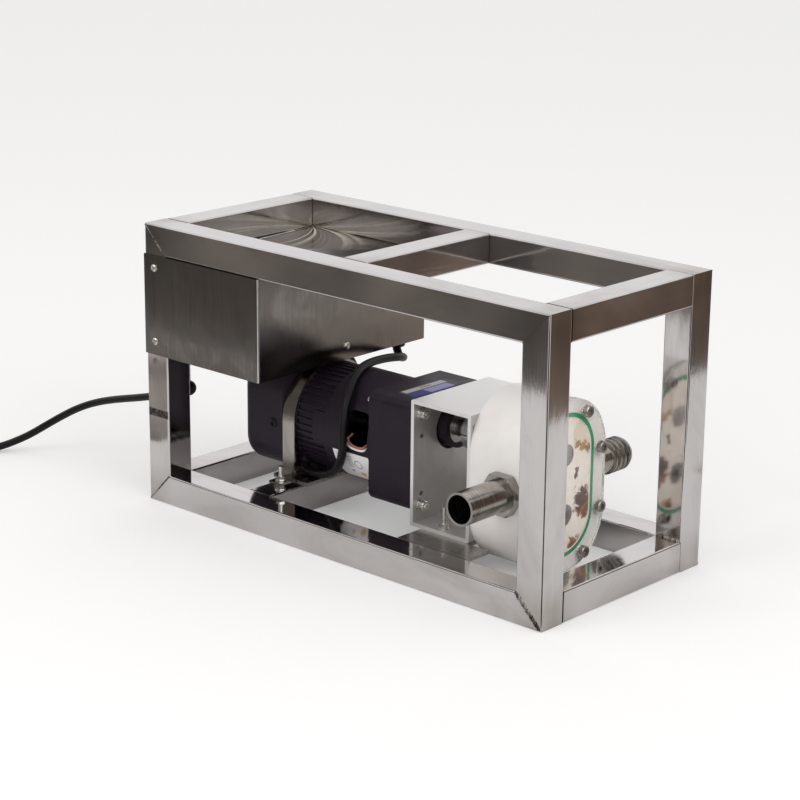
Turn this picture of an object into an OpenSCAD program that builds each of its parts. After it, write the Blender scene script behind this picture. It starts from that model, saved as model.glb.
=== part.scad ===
// Bench gear pump: a geared motor drives a twin-gear pump inside a welded square-tube frame.
// Millimetres. Origin at the middle of the frame on the floor, +X towards the pump, +Z up.

/* [Frame] */
// Overall length of the frame, along X
frame_l = 425; // [410:5:460]
// Overall depth of the frame, along Y
frame_d = 194; // [188:2:220]
// Overall height of the frame
frame_h = 237; // [232:1:270]
// Side of the square tube
tube = 25; // [23:1:27]
// Wall of the square tube
tube_wall = 1.5; // [1:0.25:2.5]
// Radius of the tube's outer edges
tube_edge = 1.5; // [0.5:0.25:3]
// Middle of the top cross tube, from the middle of the frame
cross_x = 0; // [-10:1:20]
// Thickness of the plate that the pump bracket stands on
deck_t = 3; // [2:0.5:5]
// Length of that plate along X
deck_l = 70; // [66:1:80]

/* [Control box] */
// Length of the sheet-metal box under the top rails
box_l = 133.5; // [120:0.5:136]
// Clearance between the box and the top of the motor
box_gap = 2.5; // [2:0.5:8]
// Thickness of the box sheet
box_t = 1.2; // [0.8:0.1:2]
// Radius of the folded corner, outside
box_bend = 2.4; // [2.2:0.2:4]
// Radius of the box screws' shanks
box_screw_r = 1.5; // [1.2:0.1:2]
// Radius of the run capacitor's can
cap_r = 17; // [14:0.5:20]
// Length of the run capacitor
cap_l = 58; // [50:1:66]

/* [Motor] */
// Outer radius of the finned motor housing
housing_r = 44; // [42:0.5:46]
// Length of the motor housing
housing_l = 46; // [44:1:50]
// Wall of the motor housing under its fins
housing_wall = 2.4; // [2:0.1:3]
// Height of the cooling fins
fin_h = 1.6; // [1:0.1:2]
// Number of cooling fins
fin_n = 48; // [36:2:60]
// Side of the square fan cover and of the motor flange
square_w = 90; // [88:0.5:94]
// Corner radius of the fan cover
fan_corner = 24; // [18:1:30]
// Length of the fan cover
fan_l = 47; // [42:1:52]
// Wall of the fan cover
fan_wall = 2; // [1.5:0.25:3]
// Outer radius of the front shield
shield_r = 45; // [43:0.5:45]
// Length of the front shield with its flange
shield_l = 56; // [54:1:60]
// Thickness of the front flange
flange_t = 5; // [4:0.5:8]
// Radius of the rotor
rotor_r = 25; // [22:0.5:28]
// Air gap between rotor and stator
air_gap = 0.4; // [0.3:0.05:0.8]
// Radius of the motor shaft
motor_shaft_r = 5; // [4:0.25:6]

/* [Strap and base] */
// Width of the motor strap
strap_w = 13.5; // [10:0.5:14]
// Thickness of the motor strap
strap_t = 2; // [1:0.25:3]
// Length of each strap foot, outward
strap_foot = 18; // [14:1:20]
// Radius of the studs and bolts that hold the strap and the bracket down
stud_r = 2; // [1.5:0.25:2.5]
// Thickness of the rubber pad under the motor base plate
pad_t = 4; // [3:0.5:6]
// Thickness of the motor base plate
base_t = 3; // [2:0.5:4]
// Length of the motor base plate along X
base_l = 39; // [32:1:44]
// Least thickness of the rubber saddle under the motor
saddle_t = 4.5; // [4:0.5:7]

/* [Gearbox] */
// Length of the gearbox housing
gearbox_l = 40; // [39:1:50]
// Radius of the gearbox's long edges
gearbox_edge = 8; // [4:0.5:10]
// Module of the reduction gears
red_m = 0.75; // [0.7:0.05:0.8]
// Face width of the reduction gears
red_w = 9; // [7:0.5:10]
// Radius of the output shaft
out_shaft_r = 7.5; // [6:0.25:8]
// Radius of the boss round the output shaft
boss_r = 17; // [15:0.5:18]
// Length of that boss in front of the housing
boss_l = 12; // [8:1:16]

/* [Bracket] */
// Length of the box-section bracket along X
bracket_l = 61; // [58:1:70]
// Wall of the bracket
bracket_t = 3; // [2:0.5:4]
// Height of the bracket above the top of the gearbox
bracket_over = 2.5; // [1:0.5:6]
// Shank radius of the bolts through the gearbox
bolt_r = 2.5; // [2:0.25:3]
// Outer radius of the coupling
coupling_r = 15; // [13:0.5:16]
// Length of the coupling
coupling_l = 34; // [28:1:38]

/* [Pump] */
// Gap from the pump's front face to the end of the frame
pump_inset = 55; // [45:1:60]
// Half width of the pump body
pump_r = 45; // [43:0.5:50]
// Length of the pump body
pump_l = 54.5; // [53:0.5:62]
// Thickness of the clear front cover
cover_t = 6; // [5:0.5:12]
// Module of the pump gears
pump_m = 4; // [3.8:0.05:4.1]
// Face width of the pump gears
gear_w = 26; // [22:0.5:27]
// Gap from the gear tips to the chamber wall
tip_gap = 0.2; // [0.1:0.05:0.5]
// Thickness of the wear plate in front of the gears
wear_t = 5.1; // [4:0.1:6]
// Radius of the pump shafts
pump_shaft_r = 9; // [8:0.25:9.5]
// Outer radius of the shaft bushes
bush_r = 12; // [11:0.25:13]
// Length of the shaft bushes
bush_l = 13; // [10:0.5:14]
// Radius of the cover seal's path round the gear centres
seal_path_r = 32; // [31.5:0.1:32.5]
// Radius of the cover seal's cord
seal_r = 1.6; // [1.4:0.1:1.8]
// Radius from the gear centres to the cover screws
screw_path_r = 37.5; // [37:0.25:38.5]
// Shank radius of the cover screws
cover_screw_r = 2.5; // [2:0.25:3]

/* [Ports] */
// Outer radius of the hose tails
tail_r = 13; // [12:0.25:14]
// Bore radius of the hose tails
tail_bore = 11.2; // [9:0.1:11.5]
// Distance of each hose tail's tip from the middle
tail_reach = 97; // [85:1:110]
// Across flats of the hose tail's hexagon
tail_hex = 31; // [29:0.5:36]
// Length of the hexagon
tail_hex_l = 9; // [7:0.5:12]
// Radius of the hose barb's ridges
barb_r = 13.7; // [13:0.1:14.5]
// Spacing of the hose barb's ridges
barb_pitch = 5.6; // [5:0.1:7]

/* [Cables] */
// Diameter of the mains cord
cord_d = 6.5; // [6:0.25:7.5]
// Diameter of the motor cable
cable_d = 7; // [6:0.25:7.5]
// Diameter of the thin lead wires
wire_d = 1.9; // [1.4:0.1:2]

/* [Hidden] */
$fn = 64;

steel = "#a8a5a3";
steel_dark = "#6f6c6a";
black = "#2f2930";
rubber = "#1b191a";

run_gap = 0.05;   // radial clearance of every turning fit
seat_gap = 0.02;  // radial clearance of every seated fit
face_gap = 0.1;   // end clearance beside a turning part
cut = 1;          // how far a cutting tool passes a face

half_l = frame_l / 2;
half_d = frame_d / 2;
top_z = frame_h - tube;

// Teeth: even numbers, so that a tooth of one gear meets a gap of the other
pinion_z = 12;
wheel_z = 36;
pump_z = 12;

// Stations along the drive line, from the pump's front face back to the fan
cover_x = half_l - pump_inset;
body_x1 = cover_x - cover_t;
body_x0 = body_x1 - pump_l;
bracket_x0 = body_x0 - bracket_l;
gearbox_x0 = bracket_x0 - gearbox_l;
shield_x0 = gearbox_x0 - shield_l;
housing_x0 = shield_x0 - housing_l;
fan_x0 = housing_x0 - fan_l;
flange_x = gearbox_x0 - flange_t;

// Heights, from the top of the bottom tubes upward
base_z = tube + pad_t;
saddle_z = base_z + base_t;
motor_z = saddle_z + saddle_t + housing_r;
red_c = red_m * (pinion_z + wheel_z) / 2;
shaft_z = motor_z + red_c;
gear_c = pump_m * pump_z;
driven_z = shaft_z - gear_c;
port_z = (shaft_z + driven_z) / 2;
bracket_top = motor_z + square_w / 2 + bracket_over;
half_w = square_w / 2;

// Strap and base under the motor
strap_x = housing_x0 + 1;
strap_mid = strap_x + strap_w / 2;
strap_foot_z = saddle_z + 1;
fin_x = strap_x + strap_w + 0.5;
stud_y = housing_r + strap_t + 9;
fan_back_r = 9;
nut_h = 3.2;
nut_af = 7;
washer_t = 0.8;
washer_r = 4.5;
cross_tube_x = strap_mid - 6.7;

// Bolt patterns of the bracket
bolt_y = 36.5;
bolt_z_up = 35;
bolt_z_down = 40;
bolt_zs = [motor_z + bolt_z_up, motor_z - bolt_z_down];
bolt_head_r = 4.3;
bolt_head_h = 5;
bolt_nut_af = 8;
bolt_nut_h = 4;
spare_hole_r = 2;
spare_hole_zs = [shaft_z - 1.5, driven_z - 0.5];
pump_bolt_y = 28;
pump_bolt_zs = [shaft_z + 18, driven_z - 6.5];
pump_bolt_depth = 14;
corner_hole = [40, shaft_z + 18.5];
bracket_stud_x = bracket_x0 + bracket_l / 2 - 1;
bracket_stud_y = 38;

// Pump chamber
gear_pr = pump_m * pump_z / 2;
gear_tip = gear_pr + 0.95 * pump_m;
gear_root = gear_pr - 1.2 * pump_m;
chamber_r = gear_tip + tip_gap;
wear_x0 = body_x1 - wear_t - face_gap;
gear_x0 = wear_x0 - face_gap - gear_w;
chamber_x0 = gear_x0 - face_gap;
wear_r = chamber_r + 1;
port_x = gear_x0 + gear_w / 2 - 1;
seal_seat_r = 14;
seal_seat_l = 7;
port_r = 10;
stub_l = 14;
stub_r = tail_r + 0.1;
gear_centres = [shaft_z, driven_z];
screw_angles = [0, 60, 120, 180];

// Control box
box_x0 = -half_l;
box_x1 = box_x0 + box_l;
box_z0 = motor_z + half_w + box_gap;
box_h = top_z - box_z0;
box_y = half_d + box_t;
box_screw_x = box_x0 + tube / 2;
box_screw_zs = [top_z - 10.6, box_z0 + 11.7];
end_screw_z = box_z0 + 11.8;
grommet_at = [box_x1 - 9, half_d - tube];
grommet_r = 7.5;
gland_at = [box_x0 + 6.5, tube + 10 - half_d];
gland_hex = 10;
gland_hole = 4.6;
boot_at = [box_x0 + 11.5, gland_at[1], box_z0 - 36];

// How far the ends of the cords move when a size changes
grommet_shift = [grommet_at[0] + 88, grommet_at[1] - 72, box_z0 - 128];
motor_shift = [flange_x + 9, 0, motor_z - 80.5];
gland_shift = [gland_at[0] + 206, gland_at[1] + 62, box_z0 - 128];

// Cord and cable routes: points chosen by hand
cable_route = [
    [-88, 72, 124.5], [-86.4, 71.4, 121.2], [-83.8, 70.3, 118.6], [-80.2, 68.6, 117.3], [-76.3, 66.4, 117.6],
    [-72.5, 63.6, 119], [-68, 59, 120.9], [-63.8, 53.8, 122.9], [-60.8, 47.3, 124.9], [-59.2, 39.5, 126.5],
    [-58.5, 31, 127.7], [-57.6, 21.5, 128.6], [-56.4, 12, 129.2], [-54.5, 2.5, 129.4], [-51.9, -7, 128.9],
    [-48.9, -15.8, 127.2], [-45.6, -24, 123.9], [-42.2, -30.8, 120], [-39, -36.4, 115.6], [-36.6, -41.8, 108.9],
    [-34.9, -46.1, 99.3], [-33.9, -48.7, 88.6], [-33.6, -49.2, 79.6], [-34.6, -48.4, 70.6], [-38.2, -46.4, 62.3],
    [-43.6, -43.7, 55], [-51, -40, 48.6], [-60.5, -36.2, 43.2], [-71, -32.8, 39], [-80, -30.8, 36.8],
    [-86.8, -29.9, 36.2], [-92, -29.2, 37], [-96, -28.4, 39.4], [-98.6, -27.2, 42.6], [-99.8, -25.8, 46]
];
wire_route_a = [
    [-35.2, -38, 81.6], [-35.2, -43.4, 78.6], [-33, -44, 75.9], [-29, -44.3, 74.2], [-24.5, -44.4, 73.6],
    [-19.5, -44.3, 73.5], [-15.3, -43.7, 74.3], [-14.4, -38, 76.4]
];
wire_route_b = [
    [-33, -38, 83.6], [-33, -43.4, 80.6], [-31, -44, 77.9], [-27.5, -44.2, 76.2], [-23.5, -44.3, 75.6],
    [-19.5, -44.2, 75.5], [-16.4, -43.6, 76.3], [-15.6, -38, 78.4]
];
cord_route = [
    [-210, -62, 86.6], [-213, -62, 84.9], [-218, -62, 83.2], [-227, -62, 80.9], [-240, -62, 77.2], [-255, -62, 72.9], [-270, -62, 68.8],
    [-285, -62, 64.9], [-300, -62.2, 60.8], [-315, -63, 56.2], [-330, -64.8, 50.6], [-345, -68, 43.4],
    [-359, -73, 34.8], [-372, -79.6, 25.6], [-384, -87.6, 16.8], [-395, -96.6, 9.6],
    [-403.4, -105.4, 5.2], [-408.6, -113.6, 3.5], [-410, -120, 3.3], [-409.6, -124.6, 3.3]
];
coil_at = [-446 + gland_shift[0], -158 + gland_shift[1]];
coil_r_in = 22.5;
coil_r_out = 49;
coil_h = 13.2;
plug_at = [coil_at[0] - 10.9, coil_at[1] - 25.3, coil_h];
plug_turn = 205;

// Sides of a swept tube and rings along it
tube_sides = 10;

// Involute half-angle of a tooth at radius r
function inv_deg(rb, r) = let(t = sqrt(max(0, pow(r / rb, 2) - 1))) t * 180 / PI - atan(t);
function half_tooth(rp, z, slack, r) =
    let(rb = rp * cos(20)) 90 / z - slack / rp * 90 / PI + inv_deg(rb, rp) - inv_deg(rb, max(r, rb));
function polar(r, a) = [r * cos(a), r * sin(a)];

module gear_profile(m, z, tip, root, slack) {
    rp = m * z / 2;
    rb = rp * cos(20);
    low = max(rb, root);
    steps = 5;
    rs = [for (k = [0:steps]) low + (tip - low) * k / steps];
    polygon([
        for (i = [0:z - 1]) let(mid = i * 360 / z) each concat(
            [polar(root, mid - half_tooth(rp, z, slack, low) - 1)],
            [for (r = rs) polar(r, mid - half_tooth(rp, z, slack, r))],
            [for (k = [0:steps]) polar(rs[steps - k], mid + half_tooth(rp, z, slack, rs[steps - k]))],
            [polar(root, mid + half_tooth(rp, z, slack, low) + 1)]
        )
    ]);
}

// Places its children on an axis along +X at height z
module along_x(x, y, z) { translate([x, y, z]) rotate([0, 90, 0]) children(); }

// Cylinder and ring along X
module rod_x(x0, x1, y, z, r) { along_x(x0, y, z) cylinder(h = x1 - x0, r = r); }
module ring_x(x0, x1, y, z, r_out, r_in) {
    difference() {
        rod_x(x0, x1, y, z, r_out);
        rod_x(x0 - cut, x1 + cut, y, z, r_in);
    }
}

// Cylinder along Y, from y0 to y1
module rod_y(x, y0, y1, z, r) { translate([x, y1, z]) rotate([90, 0, 0]) cylinder(h = y1 - y0, r = r); }

// Hexagonal prism along X, measured across flats
module hex_x(x0, x1, y, z, af) { along_x(x0, y, z) cylinder(h = x1 - x0, d = af / cos(30), $fn = 6); }

// Square with round corners, in the YZ plane, extruded along X
module rounded_square(w, r) {
    union() {
        square([w, w - 2 * r], center = true);
        square([w - 2 * r, w], center = true);
        for (i = [-1, 1], j = [-1, 1]) translate([i * (w / 2 - r), j * (w / 2 - r)]) circle(r = r);
    }
}
module rounded_x(x0, x1, z, w, r) { along_x(x0, 0, z) linear_extrude(x1 - x0) rounded_square(w, r); }

// Two round ends about the gear centres joined by straight flanks, extruded along X
module stadium(r) {
    union() {
        translate([-shaft_z, 0]) circle(r = r);
        translate([-driven_z, 0]) circle(r = r);
        translate([-shaft_z, -r]) square([gear_c, 2 * r]);
    }
}
module stadium_x(x0, x1, r) { along_x(x0, 0, 0) linear_extrude(x1 - x0) stadium(r); }

// Tube swept along a route: one ring of points at each route point
function unit(v) = v / norm(v);
function tangent(p, i) = unit(p[min(i + 1, len(p) - 1)] - p[max(i - 1, 0)]);
function side_of(t) = unit(cross(t, abs(t[2]) > 0.8 ? [0, 1, 0] : [0, 0, 1]));
function carried(t, s) = unit(s - (s * t) * t);
function frames(p, i, s, acc) = i == len(p) ? acc :
    let(n = carried(tangent(p, i), s)) frames(p, i + 1, n, concat(acc, [n]));
module swept_tube(p, d) {
    ns = frames(p, 0, side_of(tangent(p, 0)), []);
    n = len(p);
    k = tube_sides;
    pts = [for (i = [0:n - 1], j = [0:k - 1])
        let(a = j * 360 / k, b = cross(tangent(p, i), ns[i])) p[i] + d / 2 * (cos(a) * ns[i] + sin(a) * b)];
    sides = [for (i = [0:n - 2], j = [0:k - 1])
        [i * k + j, i * k + (j + 1) % k, (i + 1) * k + (j + 1) % k, (i + 1) * k + j]];
    polyhedron(
        points = pts,
        faces = concat(sides, [[for (j = [0:k - 1]) k - 1 - j]], [[for (j = [0:k - 1]) (n - 1) * k + j]])
    );
}

// Section of the square tube, its outer edges rounded, with its middle at the origin
module tube_section() {
    difference() {
        rounded_square(tube, tube_edge);
        square(tube - 2 * tube_wall, center = true);
    }
}

// Square tube along X on z = 0 with both ends mitred, so that the side facing +Z is the long one
module mitred_tube(length) {
    difference() {
        along_x(-length / 2, 0, tube / 2) linear_extrude(length) tube_section();
        for (s = [-1, 1]) translate([s * length / 2, 0, 0]) rotate([90, 0, 0])
            linear_extrude(tube + 2 * cut, center = true)
                polygon([[0, tube], [s * cut, tube + cut], [s * cut, -cut], [-s * (tube + cut), -cut]]);
    }
}

// Square tube along Y that butts between the two side frames
module butt_tube(x, z) {
    inner = frame_d - 2 * tube;
    translate([x, inner / 2, z + tube / 2]) rotate([90, 0, 0]) linear_extrude(inner) tube_section();
}

rail_y = half_d - tube / 2;
module rail(side, top) {
    translate([0, side * rail_y, top ? frame_h : 0]) mirror([0, 0, top ? 0 : 1])
        translate([0, 0, -tube]) mitred_tube(frame_l);
}
module post(side, end) {
    color(steel) difference() {
        translate([end * half_l, side * rail_y, frame_h / 2]) rotate([0, end * 90, 0])
            translate([0, 0, -tube]) mitred_tube(frame_h);
        if (end < 0) box_screw_holes();
    }
}
module near_bottom_rail() { color(steel) rail(-1, false); }
module near_top_rail() { color(steel) rail(-1, true); }
module far_bottom_rail() { color(steel) rail(1, false); }
module far_top_rail() { color(steel) rail(1, true); }
module near_left_post() { post(-1, -1); }
module near_right_post() { post(-1, 1); }
module far_left_post() { post(1, -1); }
module far_right_post() { post(1, 1); }
module top_left_tube() { color(steel) butt_tube(tube / 2 - half_l, top_z); }
module top_middle_tube() { color(steel) butt_tube(cross_x, top_z); }
module top_right_tube() { color(steel) butt_tube(half_l - tube / 2, top_z); }
module bottom_left_tube() { color(steel) butt_tube(tube / 2 - half_l, 0); }
module bottom_right_tube() { color(steel) butt_tube(half_l - tube / 2, 0); }
module motor_cross_tube() {
    color(steel) difference() {
        butt_tube(cross_tube_x, 0);
        strap_stud_holes();
    }
}

// Plate let in flush between the bottom rails, under the bracket
module pump_deck_plate() {
    color(steel_dark) difference() {
        translate([bracket_x0 + 12, -(half_d - tube), tube - deck_t]) cube([deck_l, frame_d - 2 * tube, deck_t]);
        translate([body_x0 - 0.3, -pump_r - 0.5, tube - deck_t - cut]) cube([pump_l, 2 * pump_r + 1, deck_t + 2 * cut]);
        bracket_stud_holes();
    }
}

// Control box: a wrap folded round three sides, a tray with an end wall, and a lid
module box_outline(inset) {
    difference() {
        translate([box_x0 + inset, -half_d]) square([box_l - inset - box_t, frame_d]);
        for (s = [-1, 1]) translate([box_x0 - cut, s * (half_d - tube / 2) - tube / 2])
            square([tube + cut, tube]);
    }
}
module box_screw_holes() {
    for (z = box_screw_zs, s = [-1, 1])
        rod_y(box_screw_x, s * half_d - 8, s * half_d + 8, z, box_screw_r + 0.1);
    rod_x(box_x1 - 8, box_x1 + 8, 2, end_screw_z, box_screw_r + 0.1);
}
module control_box_wrap() {
    color(steel_dark) difference() {
        translate([0, 0, box_z0]) linear_extrude(box_h) difference() {
            union() {
                translate([box_x0, -box_y]) square([box_l - box_bend, 2 * box_y]);
                translate([box_x0, -(box_y - box_bend)]) square([box_l, 2 * (box_y - box_bend)]);
                for (s = [-1, 1]) translate([box_x1 - box_bend, s * (box_y - box_bend)]) circle(r = box_bend);
            }
            translate([box_x0 - cut, -half_d]) square([box_l - box_t + cut, frame_d]);
        }
        box_screw_holes();
    }
}
module control_box_tray() {
    color(steel_dark) difference() {
        union() {
            translate([0, 0, box_z0]) linear_extrude(box_t) box_outline(0);
            translate([box_x0, tube - half_d, box_z0]) cube([box_t, frame_d - 2 * tube, box_h]);
            translate([box_x1 - 2 * box_t, -12, box_z0]) cube([box_t, 28, 20]);
        }
        translate([gland_at[0], gland_at[1], box_z0 - cut]) cylinder(h = box_t + 2 * cut, r = gland_hole);
        translate([grommet_at[0], grommet_at[1], box_z0 - cut]) cylinder(h = box_t + 2 * cut, r = 6);
        rod_x(box_x1 - 8, box_x1 + 8, 2, end_screw_z, box_screw_r + 0.1);
    }
}
module control_box_lid() {
    color(steel) translate([0, 0, top_z - box_t]) linear_extrude(box_t) box_outline(box_t);
}
module button_screw(r, shank) {
    rotate_extrude() polygon([
        [0, -shank], [r, -shank], [r, 0], [2.1 * r, 0], [2 * r, 0.6 * r], [1.4 * r, 1.1 * r],
        [0.7 * r, 1.25 * r], [0.7 * r, 0.5 * r], [0, 0.5 * r]
    ]);
}
module control_box_screws() {
    color("silver") {
        for (z = box_screw_zs, s = [-1, 1])
            translate([box_screw_x, s * box_y, z]) rotate([-s * 90, 0, 0]) button_screw(box_screw_r, 6);
        along_x(box_x1, 2, end_screw_z) button_screw(box_screw_r, 6);
    }
}
module cable_grommet() {
    color(rubber) translate([grommet_at[0], grommet_at[1], box_z0]) rotate_extrude() polygon([
        [0, -3.5], [grommet_r - 1, -3.5], [grommet_r, -2.5], [grommet_r, 0], [5.98, 0], [5.98, box_t],
        [grommet_r, box_t], [grommet_r - 1, box_t + 2.5], [0, box_t + 2.5]
    ]);
}

// Gland with an elbow boot that sends the mains cord out through the left end
module mains_gland() {
    color(rubber) union() {
        translate([gland_at[0], gland_at[1], 0]) {
            rotate([0, 0, 30]) translate([0, 0, box_z0 - 6]) cylinder(h = 6, d = gland_hex / cos(30), $fn = 6);
            translate([0, 0, box_z0 - cut]) cylinder(h = box_t + 6, r = gland_hole - 0.05);
            rotate([0, 0, 30]) translate([0, 0, box_z0 + box_t]) cylinder(h = 3.5, d = gland_hex / cos(30), $fn = 6);
            translate([0, 0, boot_at[2]]) cylinder(h = box_z0 - 5 - boot_at[2], r = 5);
        }
        translate(boot_at) sphere(r = 6.5);
        translate(boot_at) rotate([0, -121, 0]) cylinder(h = 10.4, r1 = 6.3, r2 = 3.7);
    }
}
module run_capacitor() {
    cap_x = box_x1 - 71.5;
    cap_z = box_z0 + box_t + cap_r + 1;
    color("#d8d6d0") union() {
        rod_y(cap_x, -cap_l / 2, cap_l / 2, cap_z, cap_r);
        rod_y(cap_x, cap_l / 2 - cut, cap_l / 2 + 3, cap_z, cap_r - 3);
        for (s = [-1, 1]) translate([cap_x + s * 6 - 0.4, cap_l / 2 + 2, cap_z - 3]) cube([0.8, 8, 6]);
        translate([cap_x - 5, -cap_l / 4 - 6, box_z0 + box_t]) cube([10, 12, 6]);
    }
}
module terminal_block() {
    ways = 6;
    pitch = 10;
    color("#3b3a3c") translate([box_x1 - 37.5, -ways * pitch / 2, box_z0 + box_t]) difference() {
        union() {
            cube([22, ways * pitch, 10]);
            translate([7, 0, 9]) cube([8, ways * pitch, 8]);
            for (i = [0:ways]) translate([0, i * pitch - 0.75, 9]) cube([22, 1.5, 6]);
        }
        for (i = [0:ways - 1], x = [3.5, 18.5])
            translate([x, (i + 0.5) * pitch, 5]) cylinder(h = 8, r = 2);
    }
}

// Fan cover: square shell with round corners, rounded back edge and a slotted grille
module fan_body(inset, front) {
    corner = fan_corner - inset;
    back_r = fan_back_r - inset;
    reach = half_w - fan_corner;
    hull() for (i = [-1, 1], j = [-1, 1]) {
        along_x(fan_x0 + fan_back_r, j * reach, motor_z + i * reach) {
            rotate_extrude($fn = 40) translate([corner - back_r, 0]) intersection() {
                circle(r = back_r, $fn = 32);
                translate([0, -back_r]) square([back_r, back_r]);
            }
            cylinder(h = front - fan_x0 - fan_back_r, r = corner, $fn = 40);
        }
    }
}
module fan_cover() {
    slot = 2.6;
    color(black) difference() {
        fan_body(0, fan_x0 + fan_l);
        fan_body(fan_wall, fan_x0 + fan_l + cut);
        for (row = [-5:5]) {
            reach = sqrt(pow(33, 2) - pow(row * 6, 2));
            translate([fan_x0 - cut, -reach, motor_z + row * 6 - slot / 2]) cube([fan_wall + 2 * cut, 2 * reach, slot]);
        }
    }
}
module cooling_fan() {
    blades = 7;
    fan_mid = fan_x0 + 14;
    color("#3a3a3c") difference() {
        union() {
            rod_x(fan_mid, fan_mid + 16, 0, motor_z, 9);
            ring_x(fan_mid + 14, fan_mid + 16, 0, motor_z, 36, 8);
            for (i = [0:blades - 1]) along_x(fan_mid, 0, motor_z) rotate([0, 0, i * 360 / blades])
                translate([8, -1, 0]) cube([28, 2, 15]);
        }
        rod_x(fan_mid - cut, fan_mid + 17, 0, motor_z, motor_shaft_r + seat_gap);
    }
}
module rear_shield() {
    inner = housing_r - fin_h - housing_wall;
    color(black) difference() {
        union() {
            rounded_x(housing_x0 - 5, housing_x0, motor_z, square_w - 2 * fan_wall - 0.4, fan_corner - fan_wall - 0.2);
            rod_x(housing_x0 - cut, housing_x0 + 4, 0, motor_z, inner - seat_gap);
            rod_x(housing_x0 - 8, housing_x0 + 6, 0, motor_z, 15);
        }
        rod_x(housing_x0 - 9, housing_x0 + 7, 0, motor_z, 7);
        rod_x(housing_x0 - 6, housing_x0 + 7, 0, motor_z, 11 + seat_gap);
        ring_x(housing_x0 + 1, housing_x0 + 5, 0, motor_z, inner + cut, 17);
        for (a = [0:45:315]) along_x(housing_x0 - 6, 0, motor_z) rotate([0, 0, a + 22.5]) translate([27, 0, 0])
            cylinder(h = 8, r = 5);
    }
}
module rotate_about_motor(a) { translate([0, 0, motor_z]) rotate([a, 0, 0]) children(); }
module motor_housing() {
    inner = housing_r - fin_h - housing_wall;
    color(black) difference() {
        union() {
            rod_x(housing_x0, fin_x, 0, motor_z, housing_r);
            rod_x(fin_x - cut, shield_x0, 0, motor_z, housing_r - fin_h);
            along_x(fin_x - cut, 0, motor_z) linear_extrude(shield_x0 - fin_x + cut) for (i = [0:fin_n - 1])
                rotate(i * 360 / fin_n) translate([inner + 1, -0.9]) square([housing_r - inner - 1, 1.8]);
            rotate_about_motor(142) translate([strap_mid, 0, housing_r - 2]) cylinder(h = 5.2, r = 4.6);
            intersection() {
                rod_x(fin_x - cut, shield_x0, 0, motor_z, housing_r);
                translate([shield_x0 - 13, -housing_r - cut, motor_z - 11]) cube([13, 14, 26]);
            }
        }
        rod_x(housing_x0 - cut, shield_x0 + cut, 0, motor_z, inner);
    }
}

// Front shield: round body with a lead window, and a square flange for the gearbox
module front_shield() {
    hub_x = flange_x - 21;
    color(black) difference() {
        union() {
            difference() {
                rod_x(shield_x0, gearbox_x0 - cut, 0, motor_z, shield_r);
                rod_x(shield_x0 + 12, flange_x - 3, 0, motor_z, shield_r - 4);
            }
            rod_x(shield_x0 - 4, shield_x0 + cut, 0, motor_z, housing_r - fin_h - housing_wall - seat_gap);
            rounded_x(flange_x, gearbox_x0, motor_z, square_w, gearbox_edge);
            rod_x(hub_x, flange_x, 0, motor_z, 15);
            rod_x(flange_x, gearbox_x0 + 5, 0, shaft_z, 13.4);
        }
        rod_x(shield_x0 - 5, shield_x0 + 12 + cut, 0, motor_z, housing_r - 8);
        rod_x(hub_x - cut, gearbox_x0 + 6, 0, motor_z, 7);
        rod_x(hub_x - cut, hub_x + 8, 0, motor_z, 11 + seat_gap);
        rod_x(gearbox_x0 - 1, gearbox_x0 + 6, 0, shaft_z, 10.5 + seat_gap);
        bracket_bolt_holes();
        hull() for (x = [flange_x - 19.5, flange_x - 10], z = [motor_z - 0.5, motor_z + 15.5])
            rod_y(x, -shield_r - cut, -shield_r + 12, z, 8, $fn = 32);
    }
}
module stator() {
    outer = housing_r - fin_h - housing_wall - seat_gap;
    stack_x0 = housing_x0 + 14;
    stack_x1 = shield_x0 - 5;
    slots = 24;
    color("#8a6a45") difference() {
        union() {
            rod_x(stack_x0, stack_x1, 0, motor_z, outer);
            ring_x(stack_x0 - 7, stack_x0 + cut, 0, motor_z, outer - 4, rotor_r + 4);
            ring_x(stack_x1 - cut, stack_x1 + 7, 0, motor_z, outer - 9, rotor_r + 4);
        }
        rod_x(stack_x0 - 8, stack_x1 + 8, 0, motor_z, rotor_r + air_gap);
        along_x(stack_x0 - cut, 0, motor_z) linear_extrude(stack_x1 - stack_x0 + 2 * cut)
            for (i = [0:slots - 1]) rotate(i * 360 / slots) translate([rotor_r, -0.6]) square([2.4, 1.2]);
    }
}
module rotor_core() {
    color("#8d8a86") ring_x(housing_x0 + 11, shield_x0 - 2, 0, motor_z, rotor_r, motor_shaft_r + seat_gap);
}
module motor_shaft() {
    tip = red_m * pinion_z / 2 + red_m;
    root = red_m * pinion_z / 2 - 1.2 * red_m;
    color("silver") union() {
        rod_x(fan_x0 + 12, flange_x - 10, 0, motor_z, motor_shaft_r);
        rod_x(flange_x - 11, gearbox_x0 + 9, 0, motor_z, 3.4);
        along_x(gearbox_x0 + 9, 0, motor_z) linear_extrude(red_w + 1)
            rotate(180 / pinion_z) gear_profile(red_m, pinion_z, tip, root, 0.06);
    }
}
module shaft_bearings() {
    hub_x = flange_x - 21;
    color("silver") {
        ring_x(housing_x0 - 6, housing_x0 + 2, 0, motor_z, 11, motor_shaft_r + run_gap);
        ring_x(hub_x, hub_x + 8, 0, motor_z, 11, motor_shaft_r + run_gap);
        ring_x(gearbox_x0 - 1, gearbox_x0 + 4, 0, shaft_z, 10.5, out_shaft_r + run_gap);
        ring_x(bracket_x0 + 1, bracket_x0 + boss_l - 1, 0, shaft_z, 13, out_shaft_r + run_gap);
    }
}

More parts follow.
